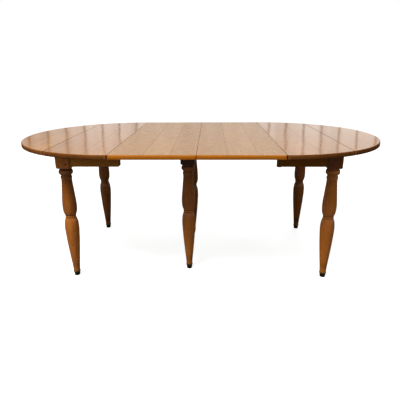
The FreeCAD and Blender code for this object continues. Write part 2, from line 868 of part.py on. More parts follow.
def guideForm():
    # A trough that hangs from the top and closes under the bearer.
    guide = newBody("guide_form")
    inside = d.bearerWidth / 2 + d.bearerGap
    outside = inside + d.guideCheek
    floor = -d.bearerGap
    top = d.bearerHeight + d.bearerGap
    section = [
        (-outside, floor - d.guideFloor),
        (outside, floor - d.guideFloor),
        (outside, top),
        (inside, top),
        (inside, floor),
        (-inside, floor),
        (-inside, top),
        (-outside, top),
    ]
    extrude(guide, "Pad", "YZ_Plane", -d.guideLength, 1, d.guideLength, [section])
    return guide


# Hinges


def hingePlate(name, side):
    # The axis is on Y. The plate reaches toward side: -1 on the half, with the two end knuckles,
    # +1 on the folding end, with the middle knuckle.
    plate = newBody(name)
    half = d.hingeLength / 2
    middle = d.hingeLength * d.knuckleShare / 2
    low, high = d.recessDepth - d.plateThickness, d.recessDepth
    shoulder = side * (d.barrelRadius + d.reliefGap)
    far = side * d.hingeWidth
    if side < 0:
        inside = middle + d.knuckleGap
        spans = [(-half, -inside), (inside, half)]
        edge = [(0, half), (0, inside), (shoulder, inside), (shoulder, -inside), (0, -inside), (0, -half)]
    else:
        spans = [(-middle, middle)]
        edge = [(shoulder, half), (shoulder, middle), (0, middle), (0, -middle)]
        edge += [(shoulder, -middle), (shoulder, -half)]
    outline = [(far, -half), (far, half)] + edge
    extrude(plate, "Pad", "XY_Plane", low, 1, high - low, [outline])
    for start, end in spans:
        barrel = rounded(0, 0, d.barrelRadius, BARREL_FLAT_COUNT)
        extrude(plate, "Pad", "XZ_Plane", start, 1, end - start, [barrel])
    bore = holeRound(0, 0, d.pinRadius + d.pinGap, BARREL_FLAT_COUNT)
    extrude(plate, "Pocket", "XZ_Plane", -half, 1, d.hingeLength, [bore])
    return plate


def pinForm():
    pin = newBody("hinge_pin_form")
    half = d.hingeLength / 2
    round = rounded(0, 0, d.pinRadius, BARREL_FLAT_COUNT)
    extrude(pin, "Pad", "XZ_Plane", -half, 1, d.hingeLength, [round])
    return pin


# Shared forms

turning = turningForm()
ferrule = ferruleForm()
peg = pegForm("peg_form", d.pegLength)
beamPeg = pegForm("beam_peg_form", d.beamPegLength)
key = keyForm()
batten = battenForm()
button = buttonForm()
guide = guideForm()
screw = screwForm()
fixedPlate = hingePlate("fixed_plate_form", -1)
movingPlate = hingePlate("moving_plate_form", 1)
pin = pinForm()


def aim(x, y):
    # Turns a form that points up its own Z so that it points along x, y.
    return Rotation(Z_AXIS, Vector(x, y, 0))


class Half:
    # One half of the table. Its pieces are placed outwards from the middle of the table, and the left
    # half is the right one turned half a round.
    def __init__(self, name, side, runnerLine, groove):
        self.name = name
        self.side = side
        self.turn = UPRIGHT if side > 0 else ROUND
        self.runnerLine = runnerLine
        self.groove = groove

    def put(self, thing, out, across, z, turn=UPRIGHT):
        return place(thing, self.side * out, self.side * across, z, self.turn * turn)

    def copies(self, name, form, places):
        # places: outwards, across, height and a turn of its own for each copy
        things = []
        for number, (out, across, z, turn) in enumerate(places, start=1):
            label = f"{self.name}_{name}_{number}"
            x, y = self.side * out, self.side * across
            things.append(copyOf(form, label, x, y, z, self.turn * turn))
        return groupOf(f"{self.name}_{name}", things)

    def end(self, back):
        return "back" if self.side * back > 0 else "front"


def addTrestle():
    # Two legs joined by a cross beam, with the middle runners on the beam.
    x = -d.trestleShift
    feet, pegs, keys = [], [], []
    middle = d.runnerBottom + d.runnerHeight / 2
    keyAt = d.runnerLength / 2 - d.keyLength / 2
    for end, back in (("front", -1), ("back", 1)):
        line = back * d.centreLegLine
        place(asNode(centreLeg(f"centre_leg_{end}", back)), x, line, 0)
        feet.append(copyOf(ferrule, f"centre_ferrule_{end}", x, line, 0))
        y = back * (d.beamHalf + d.beamPegInset)
        z = d.beamBottom + d.beamHeight / 2
        pegs.append(copyOf(beamPeg, f"beam_peg_{end}", x + d.blockHalf, y, z, aim(-1, 0)))
        line = back * d.middleRunnerLine
        place(asNode(middleRunner(f"middle_runner_{end}")), x, line, d.runnerBottom)
        for way in (-1, 1):
            face = line - way * back * d.runnerHalf
            turn = UPRIGHT if way * back < 0 else ROUND
            keys.append(copyOf(key, f"middle_key_{end}", x + way * keyAt, face, middle, turn))
    groupOf("centre_ferrules", feet)
    groupOf("beam_pegs", pegs)
    groupOf("middle_runner_keys", keys)
    place(asNode(crossBeam("centre_cross_beam")), x, 0, d.beamBottom)


def addFrame(half):
    # The legs and rails of a half, pegged together.
    feet, pegs = [], []
    inset = d.blockHalf - d.pegInset
    for back in (-1, 1):
        end = half.end(back)
        half.put(asNode(cornerLeg(f"{half.name}_{end}_leg", back)), d.legAxis, back * d.legLine, 0)
        rail = asNode(sideRail(f"{half.name}_{end}_rail", back))
        half.put(rail, d.halfInner, back * d.railLine, d.railBottom)
        feet.append((d.legAxis, back * d.legLine, 0, UPRIGHT))
        for height in (d.pegLow, d.pegHigh):
            z = d.railBottom + height
            face = back * (d.legLine + d.blockHalf)
            pegs.append((d.legAxis - inset, face, z, aim(0, -back)))
            pegs.append((d.legAxis + d.blockHalf, back * (d.legLine - inset), z, aim(-1, 0)))
    half.put(asNode(endRail(f"{half.name}_end_rail", half.runnerLine)), d.endRailLine, 0, d.railBottom)
    half.copies("ferrules", ferrule, feet)
    half.copies("rail_pegs", peg, pegs)


def addRunners(half):
    keys = []
    for back in (-1, 1):
        side = back * half.groove
        line = back * half.runnerLine
        runner = asNode(outerRunner(f"{half.name}_{half.end(back)}_runner", side))
        half.put(runner, d.runnerStart, line, d.runnerBottom)
        face = line + side * d.runnerHalf
        middle = d.runnerBottom + d.runnerHeight / 2
        turn = UPRIGHT if side > 0 else ROUND
        keys.append((d.runnerStart + d.keyLength / 2, face, middle, turn))
    half.copies("runner_keys", key, keys)


def addTop(half, blockDrop):
    # The fixed board, what holds it down and what guides the bearers under it.
    half.put(asNode(halfTop(f"{half.name}_top")), d.leafWidth, 0, d.underside)
    buttons, blocks, guides = [], [], []
    blockLine = d.railLine - d.railHalf - d.endBlockWidth / 2
    for back in (-1, 1):
        for x, y, toEnd in buttonPlaces(back):
            turn = UPRIGHT if toEnd else Rotation(Z_AXIS, back * QUARTER_TURN)
            buttons.append((x, y, d.buttonBottom, turn))
        blocks.append((d.halfInner, back * blockLine, d.railBottom, UPRIGHT))
        guides.append((d.endRailInner, back * d.bearerLine, d.bearerBottom, UPRIGHT))
    half.copies("top_buttons", button, buttons)
    half.copies("rail_end_blocks", endBlock(f"{half.name}_end_block_form", blockDrop), blocks)
    half.copies("bearer_guides", guide, guides)
    screws = [(x, y, d.buttonBottom, UPRIGHT) for x, y, z, turn in buttons]
    half.copies("top_screws", screw, screws)


def addFlap(half):
    # The folding end, its hinges and its two bearers.
    half.put(asNode(foldingEnd(f"{half.name}_flap")), d.leafWidth, 0, d.underside)
    axes = [(d.seamLine, y, d.underside, UPRIGHT) for y in (-d.hingeLine, 0, d.hingeLine)]
    half.copies("hinge_plates", fixedPlate, axes)
    half.copies("flap_hinge_plates", movingPlate, axes)
    half.copies("hinge_pins", pin, axes)
    outerEnd = d.endRailLine + d.railHalf + d.bearerProud
    for back in (-1, 1):
        slide = asNode(bearer(f"{half.name}_{half.end(back)}_bearer"))
        half.put(slide, outerEnd, back * d.bearerLine, d.bearerBottom)


def addLeaf(half):
    low = d.underside + d.leafClearance
    middle = d.leafWidth / 2
    half.put(asNode(leafBoard(f"{half.name}_leaf")), middle, 0, low)
    lines = [-d.battenLine, d.battenLine]
    foot = low - d.battenThickness
    half.copies("leaf_battens", batten, [(middle, y, foot, UPRIGHT) for y in lines])
    screws = [(middle + x, y, foot, UPRIGHT) for x, y in battenScrewPlaces()]
    half.copies("leaf_screws", screw, screws)


def faults():
    # Every object that failed, every cut that takes nothing, and every node without a sound solid.
    found = []
    for thing in doc.Objects:
        if "Invalid" in thing.State or "Error" in thing.State:
            found.append(f"{thing.Name} failed")
        if thing.TypeId in ("PartDesign::Pocket", "PartDesign::Groove"):
            if thing.BaseFeature.Shape.Volume - thing.Shape.Volume < NEAR:
                found.append(f"{thing.Name} cuts nothing")
    for node in nodes:
        if node.Shape.isNull() or not node.Shape.isValid() or not node.Shape.Solids:
            found.append(f"{node.Label} has no sound solid")
    return found


addTrestle()
halves = [
    (Half("left", -1, d.outerRunnerLine, -1), d.leftBlockDrop),
    (Half("right", 1, d.innerRunnerLine, 1), d.rightBlockDrop),
]
for half, blockDrop in halves:
    addFrame(half)
    addRunners(half)
    addTop(half, blockDrop)
    addFlap(half)
    addLeaf(half)

doc.recompute()
wrong = faults()
if wrong:
    raise RuntimeError("; ".join(wrong))

os.makedirs("parts", exist_ok=True)
for node in nodes:
    node.Shape.exportStep(f"parts/{node.Label}.step")
print(f"{len(nodes)} nodes, {sum(len(node.Shape.Solids) for node in nodes)} solids")
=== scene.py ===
import math

import bpy
import numpy as np
from mathutils import Matrix, Vector


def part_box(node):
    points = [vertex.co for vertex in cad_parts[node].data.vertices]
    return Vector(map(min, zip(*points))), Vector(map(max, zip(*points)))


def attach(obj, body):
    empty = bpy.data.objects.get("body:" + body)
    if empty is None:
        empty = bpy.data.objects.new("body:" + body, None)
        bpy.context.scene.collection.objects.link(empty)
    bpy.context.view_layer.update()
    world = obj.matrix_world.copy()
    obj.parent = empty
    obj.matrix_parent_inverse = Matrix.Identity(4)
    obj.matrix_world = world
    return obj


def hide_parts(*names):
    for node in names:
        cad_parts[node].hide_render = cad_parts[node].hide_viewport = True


# Extending table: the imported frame, dressed with round turnings, moulded boards, brass and varnished wood.

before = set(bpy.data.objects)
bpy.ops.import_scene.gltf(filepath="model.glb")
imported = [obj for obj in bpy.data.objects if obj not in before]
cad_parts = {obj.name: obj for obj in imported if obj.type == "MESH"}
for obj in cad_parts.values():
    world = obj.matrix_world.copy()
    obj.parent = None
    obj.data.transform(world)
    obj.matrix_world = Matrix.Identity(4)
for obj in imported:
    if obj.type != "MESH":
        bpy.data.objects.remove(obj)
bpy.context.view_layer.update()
print("frame loaded:", len(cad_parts), "nodes")

mm = 0.001
# Which way a side or an end lies from the middle, and its name
sides = ((-1, "left"), (1, "right"))
ends = ((-1, "front"), (1, "back"))


def newObject(name, data):
    thing = bpy.data.objects.new(name, data)
    bpy.context.scene.collection.objects.link(thing)
    return thing


# Shader maths


def operator(operation, reflected=False):
    # The method of a Python operator: it adds one Math node.
    def method(self, other):
        first, second = (other, self) if reflected else (self, other)
        return self.finish.add("Math", {"operation": operation}, {0: first, 1: second})
    return method


class Wire:
    # A node's output, which takes part in sums.
    def __init__(self, finish, socket):
        self.finish = finish
        self.socket = socket

    __add__, __radd__ = operator("ADD"), operator("ADD", True)
    __sub__, __rsub__ = operator("SUBTRACT"), operator("SUBTRACT", True)
    __mul__, __rmul__ = operator("MULTIPLY"), operator("MULTIPLY", True)
    __truediv__, __rtruediv__ = operator("DIVIDE"), operator("DIVIDE", True)
    __pow__ = operator("POWER")
    __gt__ = operator("GREATER_THAN")

    def maths(self, operation, *others):
        return self.finish.add("Math", {"operation": operation}, dict(enumerate((self, *others))))

    def size(self):
        return self.maths("ABSOLUTE")

    def root(self):
        return self.maths("SQRT")

    def fraction(self):
        return self.maths("FRACT")

    def clamped(self):
        return self.finish.add("Clamp", {}, {0: self, 1: 0.0, 2: 1.0})


class Finish:
    # The nodes of a material or a world. Its add method makes any node from its type, its settings and its
    # sockets, and gives one of the node's outputs.
    def __init__(self, owner):
        owner.use_nodes = True
        self.owner = owner
        self.tree = owner.node_tree
        self.tree.nodes.clear()

    def add(self, kind, settings, sockets, out=0):
        node = self.tree.nodes.new("ShaderNode" + kind)
        for name, value in settings.items():
            setattr(node, name, value)
        for key, value in sockets.items():
            if isinstance(value, Wire):
                self.tree.links.new(value.socket, node.inputs[key])
            else:
                node.inputs[key].default_value = value
        return Wire(self, node.outputs[out]) if node.outputs else None

    def parts(self, vector):
        node = self.add("SeparateXYZ", {}, {0: vector}).socket.node
        return [Wire(self, socket) for socket in node.outputs]

    def vector(self, x, y, z):
        return self.add("CombineXYZ", {}, {0: x, 1: y, 2: z})

    def place(self):
        return self.add("TexCoord", {}, {}, "Object")

    def mark(self, name, out="Fac"):
        return self.add("Attribute", {"attribute_name": name}, {}, out)

    def noise(self, vector, detail=2.0, rough=0.5):
        sockets = {"Vector": vector, "Scale": 1.0, "Detail": detail, "Roughness": rough}
        return self.add("TexNoise", {}, sockets)

    def mix(self, share, first, second):
        settings = {"data_type": "RGBA", "blend_type": "MIX", "clamp_factor": True}
        return self.add("Mix", settings, {0: share, 6: first, 7: second}, 2)

    def bump(self, height, distance, strength):
        return self.add("Bump", {}, {"Height": height, "Distance": distance, "Strength": strength})

    def close(self, shader, output="OutputMaterial"):
        self.add(output, {}, {"Surface": shader})

    def done(self, sockets):
        # Closes the material with one Principled shader.
        self.close(self.add("BsdfPrincipled", {}, sockets))
        return self.owner


def tone(red, green, blue):
    # The linear colour of a display colour that is given from 0 to 255.
    share = np.array([red, green, blue]) / 255
    linear = np.where(share <= 0.04045, share / 12.92, ((share + 0.055) / 1.055) ** 2.4)
    return (*linear.tolist(), 1.0)


# Wood: growth rings round a pith that wanders along the grain, fibres, pores and patches of stain


# What the woods have where their own entries say nothing else. Lengths are in metres: the width of a ring,
# how deep the pith lies, and how far the rings rise and stray along the grain. Seams are the places of the
# lines between boards, and boards is how much those differ. Tones are early wood, late wood, clouds of stain
# and the dark of pores and of painted shade, as display colours. Level is how much the surface mirrors, and
# relief how far fibres stand up.
plainWood = {
    "along": "y", "stock": False, "ringWidth": 0.006, "pith": 0.05, "arch": 0.05, "wander": 0.014,
    "rings": 0.6, "fibres": 0.5, "pores": 0.4, "patches": 0.5, "roughness": 0.42, "level": 0.06,
    "relief": 0.0001, "seams": [], "boards": 0,
}
woods = {
    "halfTopWood": {
        "tones": [(196, 134, 50), (128, 72, 20), (142, 84, 24), (104, 58, 22)], "groove": (40, 18, 6),
        "ringWidth": 0.0036, "pith": 0.045, "wander": 0.016, "rings": 0.45, "fibres": 0.22, "pores": 0.18,
        "patches": 0.6, "roughness": 0.08, "level": 0.3, "relief": 0.000012,
        "seams": [-0.861, -0.723, -0.523, -0.4, 0.4, 0.565, 0.723, 0.862], "boards": 0.35,
    },
    "leafWood": {
        "tones": [(175, 126, 60), (136, 87, 38), (154, 103, 46), (170, 94, 22)], "groove": (60, 30, 10),
        "ringWidth": 0.0034, "pith": 0.06, "arch": 0.06, "fibres": 0.3, "pores": 0.2, "patches": 0.4,
        "roughness": 0.26, "level": 0.38, "relief": 0.000012, "seams": [-0.239, -0.118, 0.0, 0.139, 0.278],
        "boards": 0.3,
    },
    "halfEdgeWood": {
        "tones": [(128, 78, 36), (74, 38, 12), (80, 42, 16), (52, 26, 8)], "ringWidth": 0.0042,
        "pith": 0.045, "wander": 0.016, "rings": 0.35, "patches": 0.7, "roughness": 0.5, "level": 0.03,
    },
    "leafEdgeWood": {
        "tones": [(186, 112, 32), (150, 82, 18), (168, 96, 24), (120, 62, 14)], "ringWidth": 0.0046,
        "pith": 0.06, "arch": 0.06, "rings": 0.5, "fibres": 0.4, "pores": 0.3, "patches": 0.4,
        "roughness": 0.36, "level": 0.04,
    },
    "underWood": {
        "tones": [(150, 104, 62), (112, 72, 38), (130, 84, 46), (84, 52, 26)], "roughness": 0.62,
        "level": 0.2,
    },
    "legWood": {
        "along": "z", "stock": True, "tones": [(196, 118, 44), (102, 52, 15), (156, 84, 26), (54, 22, 5)],
        "ringWidth": 0.0075, "pith": 0.07, "wander": 0.02, "roughness": 0.16, "level": 0.36,
    },
    # The side rails and their end blocks take one wood in two copies: painted lit on the left, painted shaded
    # on the right
    "shadedSideRailWood": {"along": "x", "tones": [(132, 82, 28), (84, 46, 12), (104, 60, 18), (56, 28, 8)]},
    "litSideRailWood": {"along": "x", "tones": [(182, 120, 50), (128, 78, 28), (150, 94, 34), (80, 44, 14)]},
    "endRailWood": {"tones": [(150, 96, 38), (104, 62, 20), (124, 76, 26), (56, 28, 8)]},
    "runnerWood": {
        "along": "x", "tones": [(150, 106, 62), (112, 72, 38), (130, 86, 46), (90, 56, 28)],
        "ringWidth": 0.005, "pith": 0.06, "arch": 0.04, "wander": 0.012, "fibres": 0.6, "pores": 0.5,
        "roughness": 0.6, "level": 0.3,
    },
    "beamWood": {
        "tones": [(142, 96, 54), (104, 64, 32), (124, 78, 40), (84, 50, 24)], "ringWidth": 0.0055,
        "pith": 0.06, "arch": 0.04, "wander": 0.012, "fibres": 0.6, "pores": 0.5, "roughness": 0.58,
        "level": 0.3,
    },
    "pegWood": {
        "tones": [(74, 42, 20), (40, 20, 8), (58, 30, 12), (30, 14, 6)], "ringWidth": 0.0014, "pith": 0.01,
        "arch": 0.004, "wander": 0.002, "rings": 0.7, "patches": 0.4, "roughness": 0.6, "level": 0.04,
    },
}
# How fine each mark is across the grain and along it, from what level of its noise pores and patches show
# and how sharply, and how far apart the boards of a top are cut from the stock
figure = {
    "pore": (1500, 42), "fibre": (620, 14), "patch": (9, 3.5), "wander": (3.0, 0.8), "swell": (0.3, 0.7),
    "wear": 22, "poreLevel": 0.62, "poreRise": 9.0, "patchLevel": 0.32, "patchRise": 2.4,
    "outerBoard": 0.14, "stockStep": 9.0, "pithSpread": 0.06,
}
# Half the width of a line between boards and how dark it is: a glue line, and the seams by their places
glueLine = (0.001, 0.9)
openSeams = {0.0: (0.0014, 1.2), 0.4: (0.0018, 1.6), 0.723: (0.0024, 2.4)}


def woodFinish(name, look):
    look = {**plainWood, **look}
    early, lateTone, clouded, paintedShade = (tone(*colour) for colour in look["tones"])
    finish = Finish(bpy.data.materials.new(name))
    place = finish.mark("stock", "Vector") if look["stock"] else finish.place()
    x, y, z = finish.parts(place)
    across, deep, grain = {"x": (y, z, x), "y": (x, z, y), "z": (x, y, z)}[look["along"]]
    seams = look["seams"]
    board, centre, joint = 0.0, 0.0, 0.0
    if seams:
        # Which board of a glued top this is, the middle of that board, and the line beside it
        edges = [seams[0] - figure["outerBoard"], *seams, seams[-1] + figure["outerBoard"]]
        middles = [(a + b) / 2 for a, b in zip(edges, edges[1:])]
        centre = middles[0]
        for seam, low, high in zip(seams, middles, middles[1:]):
            past = across > seam
            board = past + board
            centre = past * (high - low) + centre
            wide, dark = openSeams.get(abs(seam), glueLine)
            joint = (1 - (across - seam).size() / wide).clamped() * dark + joint
        chance = finish.add("TexWhiteNoise", {"noise_dimensions": "1D"}, {"W": board}, "Value")
    else:
        chance = 0.4
    shift = chance * figure["stockStep"]

    def drawnOut(mark, shift, *grades):
        # noise drawn out along the grain, at the scales of one mark of the figure
        fine, long = figure[mark]
        return finish.noise(finish.vector(across * fine + shift, deep * fine, grain * long), *grades)

    # Rings: the distance from a pith that wanders sideways and rises and falls, in widths of a ring
    fine, long = figure["wander"]
    wander = finish.noise(finish.vector(across * fine + shift, deep * fine, grain * long + shift)) - 0.5
    fine, long = figure["swell"]
    swell = finish.noise(finish.vector(shift, across * fine, grain * long), 1.0) - 0.5
    side = across - centre + wander * look["wander"] + (chance - 0.5) * figure["pithSpread"]
    depth = deep * 0.7 + swell * look["arch"] + look["pith"]
    ring = (side * side + depth * depth).root() / look["ringWidth"]
    # Late wood darkens through each ring, and finer lines run between
    late = ring.fraction() ** 1.6 * 0.55 + (ring * 3.3).fraction() * 0.45
    fibre = drawnOut("fibre", 0.0, 3.0, 0.65)
    pit = ((drawnOut("pore", 0.0, 1.0) - figure["poreLevel"]) * figure["poreRise"]).clamped()
    cloud = ((drawnOut("patch", shift, 3.0, 0.55) - figure["patchLevel"]) * figure["patchRise"]).clamped()
    share = late * look["rings"] + (fibre - 0.5) * (1.6 * look["fibres"])
    colour = finish.mix(share.clamped(), early, lateTone)
    colour = finish.mix(cloud * look["patches"], colour, clouded)
    if look["boards"]:
        colour = finish.mix(chance * look["boards"], colour, lateTone)
    colour = finish.mix(pit * look["pores"], colour, paintedShade)
    # Painted shade: the mark darkens towards the fourth tone in the creases of the turnings, down board edges
    # and in seams, and on legs and blocks that stand in shade
    colour = finish.mix(finish.mark("paintedShade").clamped(), colour, paintedShade)
    height = (fibre - 0.5) * 0.35 - pit * 0.5
    coarse = figure["wear"]
    wear = finish.noise(finish.vector(x * coarse, y * coarse, z * coarse), 4.0, 0.6)
    rough = wear * 0.16 + (fibre - 0.5) * 0.12 + (look["roughness"] - 0.08) + pit * 0.1
    if seams:
        colour = finish.mix(joint.clamped(), colour, tone(*look["groove"]))
        height = height - joint * 0.4
        rough = rough + joint.clamped() * 0.5
    return finish.done({"Base Color": colour, "Roughness": rough.clamped(),
                        "Specular IOR Level": look["level"],
                        "Normal": finish.bump(height, look["relief"], 0.5)})


# Brass, gone dark, and bright where hands and floors rub it; on the ferrules' rims the bright brass is also a
# painted highlight


metals = {
    "antiqueBrass": {"dark": tone(38, 28, 18), "bright": tone(150, 120, 74), "stain": tone(24, 17, 10),
                     "roughness": 0.42, "scratch": 900},
    "hingeBrass": {"dark": tone(116, 88, 50), "bright": tone(186, 158, 104), "stain": tone(72, 54, 32),
                   "roughness": 0.38, "scratch": 700},
    "screwSteel": {"dark": tone(92, 90, 86), "bright": tone(168, 166, 162), "stain": tone(70, 58, 48),
                   "roughness": 0.4, "scratch": 1200},
}


def metalFinish(name, look):
    finish = Finish(bpy.data.materials.new(name))
    x, y, z = finish.parts(finish.place())
    # Blots that are as wide as high, and fine level streaks
    blot = finish.noise(finish.vector(x * 130, y * 130, z * 130), 4.0, 0.6)
    streak = finish.noise(finish.vector(x * 60, y * 60, z * look["scratch"]), 2.0, 0.6)
    # Bright brass: blots, rubbed places, and the painted highlight on the ferrules' rims
    bareAndHighlight = ((blot - 0.55) * 2.0 + finish.mark("wearAndHighlight") * 0.8 - 0.1).clamped()
    colour = finish.mix(bareAndHighlight * 0.8, look["dark"], look["bright"])
    colour = finish.mix(((0.42 - blot) * 5.0).clamped() * 0.7, colour, look["stain"])
    rough = (look["roughness"] + (blot - 0.5) * 0.35 - bareAndHighlight * 0.08 + (streak - 0.5) * 0.16).clamped()
    height = (streak - 0.5) * 0.5 + (blot - 0.5)
    return finish.done({"Base Color": colour, "Metallic": (bareAndHighlight * 0.5 + 0.35).clamped(), "Roughness": rough,
                        "Specular IOR Level": 0.1, "Normal": finish.bump(height, 0.0001, 0.7)})


finishes = {name: woodFinish(name, look) for name, look in woods.items()}
finishes.update({name: metalFinish(name, look) for name, look in metals.items()})
print("finishes made:", len(finishes))


# Surfaces


class Form:
    # Collects closed skins, and makes one object of them.
    def __init__(self):
        self.points, self.faces, self.smooth, self.finishNumbers = [], [], [], []
        # Per point: how much painted shade it gets, and how bright its brass is from wear and, on the
        # ferrules' rims, from a painted highlight
        self.marks = {"paintedShade": [], "wearAndHighlight": []}
        self.stock = []
        self.count = 0

    def skin(self, grid, paintedShade=0.0, wearAndHighlight=0.0, second=None, ring=False, stock=None):
        # grid holds closed loops, one row each, from the underside up the outside; loops run anticlockwise
        # seen from above. Neighbouring loops are joined with quads, and the first and last are filled.
        # second marks the quads that take the piece's second finish, and then the underside takes the third.
        # A ring joins its last loop to its first instead, as a tube's wall does. stock says where the points
        # lie in the blank that the piece is cut from.
        rows, columns = grid.shape[:2]
        index = self.count + np.arange(rows * columns).reshape(rows, columns)
        ahead = np.roll(index, -1, axis=1)
        if ring:
            index, ahead = (np.concatenate([loops, loops[:1]]) for loops in (index, ahead))
        quads = np.stack([index[:-1], ahead[:-1], ahead[1:], index[1:]], axis=-1).reshape(-1, 4)
        caps = [] if ring else [index[0, ::-1].tolist(), index[-1].tolist()]
        self.points.append(grid.reshape(-1, 3))
        self.faces += quads.tolist() + caps
        self.smooth += [True] * len(quads) + [False] * len(caps)
        if second is None:
            second = np.zeros(len(quads), int)
        self.finishNumbers += second.reshape(-1).astype(int).tolist() + [2 * int(second.any()), 0][:len(caps)]
        for name, value in (("paintedShade", paintedShade), ("wearAndHighlight", wearAndHighlight)):
            self.marks[name].append(np.broadcast_to(value, (rows, columns)).reshape(-1))
        self.stock.append((grid if stock is None else stock).reshape(-1, 3))
        self.count += rows * columns

    def make(self, name, body, slotName, finishNames, replaced):
        mesh = bpy.data.meshes.new(name)
        mesh.from_pydata(np.concatenate(self.points).tolist(), [], self.faces)
        mesh.polygons.foreach_set("use_smooth", self.smooth)
        for mark, values in self.marks.items():
            attribute = mesh.attributes.new(mark, "FLOAT", "POINT")
            attribute.data.foreach_set("value", np.concatenate(values).astype(np.float32))
        attribute = mesh.attributes.new("stock", "FLOAT_VECTOR", "POINT")
        attribute.data.foreach_set("vector", np.concatenate(self.stock).astype(np.float32).reshape(-1))
        for finish in finishNames.split():
            mesh.materials.append(finishes[finish])
        mesh.polygons.foreach_set("material_index", self.finishNumbers)
        mesh.update()
        piece = newObject(name, mesh)
        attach(piece, body)
        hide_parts(replaced)


def turn(profile, angles):
    # A profile of radius and height carried round the upright axis: radius times the cosine and the sine.
    radius, height = profile[:, :1], profile[:, 1:]
    x, y = radius * np.cos(angles), radius * np.sin(angles)
    return np.stack([x, y, np.broadcast_to(height, x.shape)], axis=-1)


def evenly(count):
    # Angles evenly round a circle.
    return np.linspace(0, 2 * math.pi, count, endpoint=False)


def spun(grid, angle):
    # Turns a form round the upright axis.
    c, s = math.cos(angle), math.sin(angle)
    return grid @ np.array([[c, s, 0], [-s, c, 0], [0, 0, 1]])


def lying(grid):
    # Lays an upright form down along the Y axis.
    return np.stack([grid[..., 0], grid[..., 2], -grid[..., 1]], axis=-1)


def placed(grid, *place):
    # Moves a form to its place, and takes it from millimetres to metres.
    return (grid + np.array(place)) * mm


def curve(points, steps):
    # A smooth line through points: between two of them a cubic whose slopes follow their neighbours.
    points = np.array(points, float)
    before = np.vstack([points[:1] * 2 - points[1:2], points[:-2], points[-2:-1]])[:len(points) - 1]
    after = np.vstack([points[2:], points[-1:] * 2 - points[-2:-1]])
    share = np.linspace(0, 1, steps, endpoint=False)[None, :, None]
    p, q, r, s = before[:, None], points[:-1, None], points[1:, None], after[:, None]
    line = 0.5 * (2 * q + (r - p) * share + (2 * p - 5 * q + 4 * r - s) * share**2
                  + (3 * q - p - 3 * r + s) * share**3)
    return np.vstack([line.reshape(-1, points.shape[1]), points[-1:]])


def bead(low, high, base, bulge, steps=14):
    # A half round moulding: an ellipse of the bulge's depth over the base radius.
    angle = np.linspace(0, math.pi, steps)
    height = (low + high) / 2 - np.cos(angle) * (high - low) / 2
    return np.stack([base + bulge * np.sin(angle), height], axis=-1)


def roundLoop(arcs):
    # An outline of arcs joined by straight lines: each arc has a centre, or one for each point, a radius and
    # its angles. Gives the points, and the unit vectors that point into the outline.
    points, inwards = [], []
    for centre, radius, angles in arcs:
        way = np.stack([np.cos(angles), np.sin(angles)], axis=-1)
        points.append(np.array(centre) + radius * way)
        inwards.append(-way)
    return np.concatenate(points), np.concatenate(inwards)


def slab(points, inwards, low, high, over, under, steps=7, channel=0.0):
    # A board: its outline is drawn in by a quarter round at the lower and at the upper edge, whose radii may
    # change along the outline. Where channel isn't nought, the lower edge is a hollow of that radius.
    over, under, channel = (np.broadcast_to(value, len(points))[None, :] for value in (over, under, channel))
    angle = np.linspace(0, math.pi / 2, steps)[:, None]
    foot = np.where(channel > 0, channel * np.cos(angle), under * (1 - np.sin(angle)))
    rise = np.where(channel > 0, channel * np.sin(angle), under * (1 - np.cos(angle)))
    inset = np.concatenate([foot, over * (1 - np.cos(angle))])
    height = np.concatenate([low + rise, high - over * (1 - np.sin(angle))])
    flat = points[None] + inwards[None] * inset[..., None]
    return np.concatenate([flat, height[..., None]], axis=-1)


def box(low, high, ease, corner):
    # A block with eased edges: a rounded rectangle given to slab.
    x0, y0, z0 = low
    x1, y1, z1 = high
    quarter = np.linspace(0, math.pi / 2, 5)
    arcs = [((x1 - corner, y0 + corner), corner, quarter - math.pi / 2),
            ((x1 - corner, y1 - corner), corner, quarter),
            ((x0 + corner, y1 - corner), corner, quarter + math.pi / 2),
            ((x0 + corner, y0 + corner), corner, quarter + math.pi)]
    return slab(*roundLoop(arcs), z0, z1, ease, ease, 5)


# Boards


boards = {
    "radius": 0.6, "leaf": 0.4, "seam": 0.32298, "gap": 0.0008, "top": 0.73, "underside": 0.708,
    "leafUnderside": 0.7084, "nosing": 0.005, "leafNosing": 0.0075, "underRound": 0.002,
    "seamEase": 0.0013, "corner": 0.0038, "cornerEase": 0.00342, "runOut": 0.012,
    "hingePlaces": [-0.4457, 0.0, 0.4457], "hingeReach": 0.0304, "channel": 0.0046,
    # Where in the upper rounding the edge's colour begins, and how near the seam a point of an edge gets
    # painted shade
    "edgeStart": 0.16, "seamShade": 0.0022,
}


